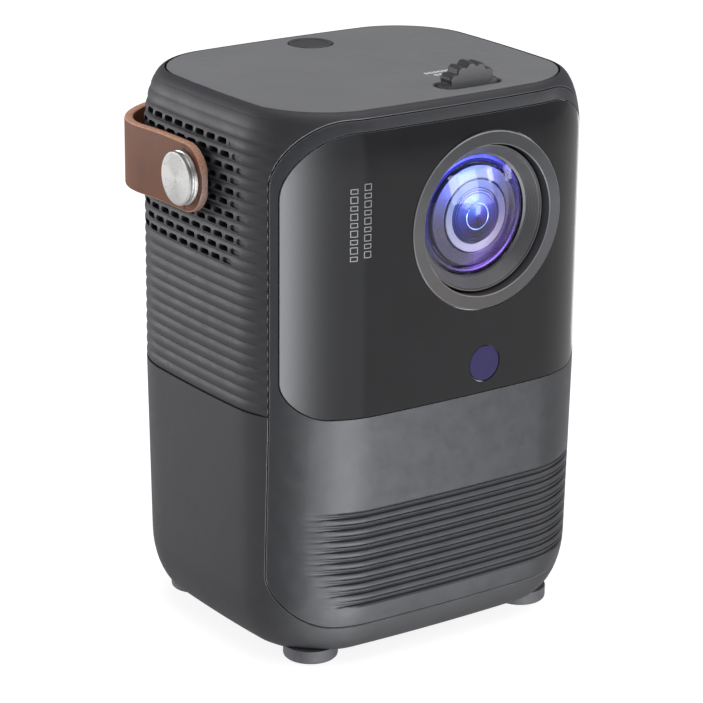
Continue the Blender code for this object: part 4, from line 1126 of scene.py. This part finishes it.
def strap_path():
    """(x, y) points along the middle of the leather, from its left end round the back to its right end."""
    centre = STRAP_SIDE_X - STRAP_CORNER
    middle = STRAP_BACK_Y - STRAP_CORNER
    ends = [STRAP_END_RADIUS * (1 - math.cos(math.pi / 2 * i / 14)) for i in range(15)]
    left = [(-STRAP_SIDE_X, STRAP_FRONT_Y + reach) for reach in ends]
    left += [(-STRAP_SIDE_X, y) for y in (-0.002, 0.003, 0.008, 0.013, 0.018, 0.022)]
    left += arc(-centre, middle, STRAP_CORNER, 180, 90, 24)
    left += [(x, STRAP_BACK_Y) for x in (-0.026, -0.018, -0.009)]
    return left + [(0.0, STRAP_BACK_Y)] + [(-x, y) for x, y in left[::-1]]


def strap_half_width(y):
    into = min(max((y - STRAP_FRONT_Y) / STRAP_END_RADIUS, 0.0), 1)
    return STRAP_WIDTH / 2 - STRAP_END_RADIUS * (1 - math.sqrt(max(0, 1 - (1 - into) ** 2)))


def strap_droop(y):
    """How far the leather hangs below its pins, towards the back."""
    return STRAP_DROOP * smoothstep(0.010, STRAP_BACK_Y, y)


SECTION_STEPS = 4    # from one end to the other of each rounded corner of the band
SECTION = 4 * (SECTION_STEPS + 1)
EDGE_COLUMNS = (range(1, 9), range(11, 19))    # the upper and the lower cut edge with their rounds


def strap_section(thin, half, roll=0.0007):
    """The band's section as (out from the middle, up), from half its thickness and half its width."""
    section = []
    for sx, sz, start in ((1, 1, 0), (-1, 1, 90), (-1, -1, 180), (1, -1, 270)):
        section += arc(sx * (thin - roll), sz * (half - roll), roll, start, start + 90, SECTION_STEPS)
    return section


def strap():
    """Leather band with rolled, paler cut edges."""
    path = strap_path()
    rings = []
    for i, (x, y) in enumerate(path):
        before = Vector(path[max(i - 1, 0)])
        after = Vector(path[min(i + 1, len(path) - 1)])
        tangent = (after - before).normalized()
        outward = Vector((-tangent.y, tangent.x))
        from_end = abs(y - STRAP_FRONT_Y)
        thin = STRAP_THICKNESS / 2 * (0.72 + 0.28 * min(from_end / 0.0006, 1))
        centre_z = STRAP_PIVOT[2] - strap_droop(y)
        rings.append([(x + outward.x * across, y + outward.y * across + BODY_Y, centre_z + rise)
                      for across, rise in strap_section(thin, strap_half_width(y))])
    band = loft("leather_strap", rings, [strap_face, strap_edge], outwards=True)
    for face in band.data.polygons:
        columns = [v % SECTION for v in face.vertices]
        on_edge = any(all(c in edge for c in columns) for edge in EDGE_COLUMNS)
        face.material_index = 1 if on_edge or len(columns) > 4 else 0
    carve(band, cylinder("holes", 0.0034, -0.09, 0.09, STRAP_PIVOT, "x", 32))
    finish_piece(band, "strap_body", ["strap"], 40)


def strap_cap(side):
    low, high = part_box("strap_cap_" + side)
    base = min(abs(low.x), abs(high.x))
    radius = (high.z - low.z) / 2
    edge = [(0, 0), (0, 0.0006), (0.0002, 0.0009), (0.0007, 0.0011), (0.0007, 0.0017), (0.0002, 0.0020),
            (0.0001, 0.0026), (0.0004, 0.0029), (0.0005, 0.00298), (0.0007, 0.0030), (0.0010, 0.0030)]
    profile = [(0, base)] + [(radius - inset, base + rise) for inset, rise in edge] + [(0, base + 0.0030)]
    surface = spun_metal("spun_cap_" + side, (0.56, 0.556, 0.548), 0.32, STRAP_PIVOT)
    cap = turned("rivet_cap_" + side, profile, STRAP_PIVOT, "-x" if side == "left" else "x", 96, [surface])
    finish_piece(cap, "case", ["strap_cap_" + side], 25)


# --- feet, print


def feet():
    for corner, (x, y) in foot_places().items():
        low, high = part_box("foot_" + corner)
        r = (high.x - low.x) / 2
        profile = [
            (0.0016, high.z), (r, high.z), (r, 0.0012), (r - 0.00015, 0.0006), (r - 0.0006, 0.00015),
            (r - 0.0012, 0), (0.0046, 0), (0.0042, 0.0004), (0.0040, 0.0026), (0.0016, 0.0026),
        ]
        foot = turned("rubber_foot_" + corner, profile, (x, y, 0), "z", 64, [foot_rubber])
        finish_piece(foot, "case", ["foot_" + corner])


def hollow_box(x, z, wide, tall, thick):
    """Corners of the four bars of one small outlined box."""
    for left, right, low, high in (
        (0, thick, 0, tall), (wide - thick, wide, 0, tall),
        (thick, wide - thick, 0, thick), (thick, wide - thick, tall - thick, tall),
    ):
        yield [(x + left, z + low), (x + right, z + low), (x + right, z + high), (x + left, z + high)]


def marks_piece(name, patches, surface):
    """One piece made of flat four-cornered patches of print."""
    verts = [corner for patch in patches for corner in patch]
    faces = [tuple(range(4 * i, 4 * i + 4)) for i in range(len(patches))]
    finish_piece(mesh_object(name, verts, faces, [surface], outwards=False), "case")


def printed_marks():
    """Rows of small outlined boxes on the front panel and beside the focus wheel, in place of lettering."""
    lift = 0.00004
    patches = []
    for column, x in enumerate((-0.0432, -0.0386)):
        z = 0.1440 + 0.0008 * column
        for i in range(9):
            tall = 0.0017 + 0.0006 * ((i + column) % 2)
            for corners in hollow_box(x, z, 0.0025, tall, 0.00028):
                patches.append([(px, front_y(px, pz) - lift, pz) for px, pz in corners])
            z += tall + 0.0008
    marks_piece("panel_marks", patches, pale_print)

    patches = []
    for row, y in enumerate((-0.0212, -0.0246)):
        x = WHEEL_X - 0.0045 + 0.0016 * row
        for i in range(6 - 2 * row):
            wide = 0.0012 + 0.0003 * ((i + row) % 2)
            for corners in hollow_box(x, y + BODY_Y, wide, 0.0018, 0.00042):
                patches.append([(px, py, COVER_TOP + lift) for px, py in corners])
            x += wide + 0.0005
    marks_piece("cover_marks", patches, bright_print)


# --- camera, light, floor


def camera():
    """The photographed view: from the front left and above, with a little roll and shift."""
    position = Vector((-0.5632, -0.8015 + BODY_Y, 0.4227))
    forward = Vector((0.5479, 0.7732, -0.3193)).normalized()
    roll = math.radians(0.631)
    side = forward.cross(Vector((0, 0, 1))).normalized()
    up = side.cross(forward)
    right = side * math.cos(roll) + up * math.sin(roll)
    top = up * math.cos(roll) - side * math.sin(roll)
    data = bpy.data.cameras.new("camera")
    data.lens = 152.18
    data.sensor_width = 36
    data.shift_x = -0.027681
    data.shift_y = -0.010057
    view = link("camera", data)
    turn = Matrix((right, top, -forward)).transposed().to_4x4()
    view.matrix_world = Matrix.Translation(position) @ turn
    bpy.context.scene.camera = view


def area_light(name, place, target, size, radiance, diffuse=True, only=(), tint=(1, 1, 1)):
    """A soft rectangular lamp. Its brightness is what a mirror would show of it."""
    data = bpy.data.lights.new(name, "AREA")
    data.shape = "RECTANGLE"
    data.size, data.size_y = size
    data.energy = radiance * math.pi * size[0] * size[1]
    data.color = tint
    light = link(name, data)
    direction = Vector(target) - Vector(place)
    light.matrix_world = Matrix.Translation(place) @ direction.to_track_quat("-Z", "Y").to_matrix().to_4x4()
    light.visible_camera = False
    light.visible_diffuse = diffuse
    if only:
        receivers = bpy.data.collections.new(name + "_lit")
        for obj in only:
            receivers.objects.link(obj)
        light.light_linking.receiver_collection = receivers
        light.light_linking.blocker_collection = receivers


def seen_by_camera(tree, seen, otherwise):
    """A value that is one thing for the camera and another for the light that falls on the object."""
    camera_ray = tree.nodes.new("ShaderNodeLightPath").outputs["Is Camera Ray"]
    return spread(tree, camera_ray, otherwise, seen, 0, 1)


SKY_LIGHT = 0.26
FLOOR_SHINE = 0.32
FLOOR_GREY = 0.45
COOL = (0.94, 0.96, 1.0)
STRIPS = 45
STRIP_HEIGHT = 0.40
STRIP_REACH = 0.20
STRIP_START = -88    # degrees from straight ahead, with the step between strips below it
STRIP_STEP = 2.4


def surroundings():
    """White to the camera, dimmer as light on the object."""
    world = bpy.data.worlds.new("studio")
    world.use_nodes = True
    tree = world.node_tree
    set_inputs(tree, tree.nodes["Background"], Color=(0.98, 0.99, 1.0, 1),
               Strength=seen_by_camera(tree, 1.0, SKY_LIGHT))
    bpy.context.scene.world = world
    bpy.context.scene.view_settings.view_transform = "Standard"


def curved_screen(panel):
    """Upright strips in a quarter circle that the gloss panel's left edge mirrors, brightest at its side."""
    corner = Vector((-0.058, -0.045, 0))
    size = (STRIP_REACH * math.radians(STRIP_STEP) * 1.01, STRIP_HEIGHT)
    for i in range(STRIPS):
        turn = STRIP_START + STRIP_STEP * i
        angle = math.radians(turn)
        out = Vector((math.sin(angle), -math.cos(angle), 0)) * STRIP_REACH
        place = corner + out + Vector((0, 0, STRIP_HEIGHT / 2 + 0.003))
        level = 0.35 + 8.2 * math.exp(-(((turn - STRIP_START) / 36) ** 2))
        area_light(f"strip_{i}", place, corner + Vector((0, 0, place.z)), size, level, False, [panel], COOL)


def studio_lamps(made_objects):
    """Broad lamps above and beside, a glow in front, and lamps that only the panel or the lens sees."""
    panel = bpy.data.objects["front_gloss_panel"]
    glass = bpy.data.objects["front_glass"]
    inside = [bpy.data.objects[name] for name in ("lens_second_glass", "lens_pale_ring", "lens_inner_cone",
                                                  "lens_outer_ring")]
    eye = bpy.data.objects["ir_eye"]
    satin = [obj for obj in made_objects if obj not in (panel, glass, eye, *inside)]
    area_light("top_softbox", (0.12, -0.05, 1.10), (0, 0, 0.1), (1.1, 1.1), 2.15)
    area_light("right_softbox", (0.75, -0.55, 0.35), (0, 0, 0.08), (0.60, 0.60), 2.2, only=satin)
    area_light("left_softbox", (-0.74, 0.87, 0.22), (0, 0, 0.1), (0.70, 0.80), 6.0, only=satin)
    area_light("front_glow", (-0.08, -0.68, -0.32), (-0.02, -0.05, 0.06), (0.84, 1.00), 15.5, False, satin,
               COOL)
    curved_screen(panel)
    area_light("panel_rim", (0.218, 0.185, 0.085), (0.058, -0.045, 0.15), (0.26, 0.20), 1.3, False, [panel],
               COOL)
    lens = Vector((LENS_X, -0.0520 + BODY_Y, LENS_Z))
    for name, offset, size, level, lit in (
        ("window_wide", (0.22, -0.55, 0.075), (0.27, 0.22), 4.0, [glass]),
        ("window_narrow", (0.446, -0.39, 0.095), (0.06, 0.08), 5.4, [glass]),
        ("window_small", (0.364, -0.467, -0.098), (0.08, 0.10), 12.0, [inside[0]]),
        ("lens_sky", (0.25, -0.54, 0.08), (1.3, 0.95), 0.72, inside),
    ):
        area_light(name, lens + Vector(offset), lens, size, level, False, lit)


@material
def glowing_paper(tree, shader):
    """Pale paper that glows a little, so that it ends in the same white as the surroundings."""
    tone = ramp(tree, noise(tree, 8, 3), [(0.3, [FLOOR_GREY * 0.97] * 3), (0.7, [FLOOR_GREY] * 3)])
    set_inputs(tree, shader, Base_Color=tone, Roughness=0.9, Specular_IOR_Level=0.1,
               Emission_Color=(1, 1, 1, 1), Emission_Strength=seen_by_camera(tree, 0.86, FLOOR_SHINE))


def floor(reach=12):
    corners = [(-reach, -reach, 0), (reach, -reach, 0), (reach, reach, 0), (-reach, reach, 0)]
    sheet = mesh_object("floor", corners, [(0, 1, 2, 3)], [glowing_paper("floor_paper")], outwards=False)
    sheet.location.z = -0.00005


# --- making

camera()
upper_housing()
lower_housing()
front_bezel()
front_panel()
ir_window()
top_cover()
power_button()
focus_wheel()
lens_trim_ring()
lens_barrel()
front_element()
lens_inside()
strap()
strap_cap("left")
strap_cap("right")
feet()
printed_marks()
surroundings()
studio_lamps([obj for obj in bpy.context.scene.objects if obj.type == "MESH"])
floor()
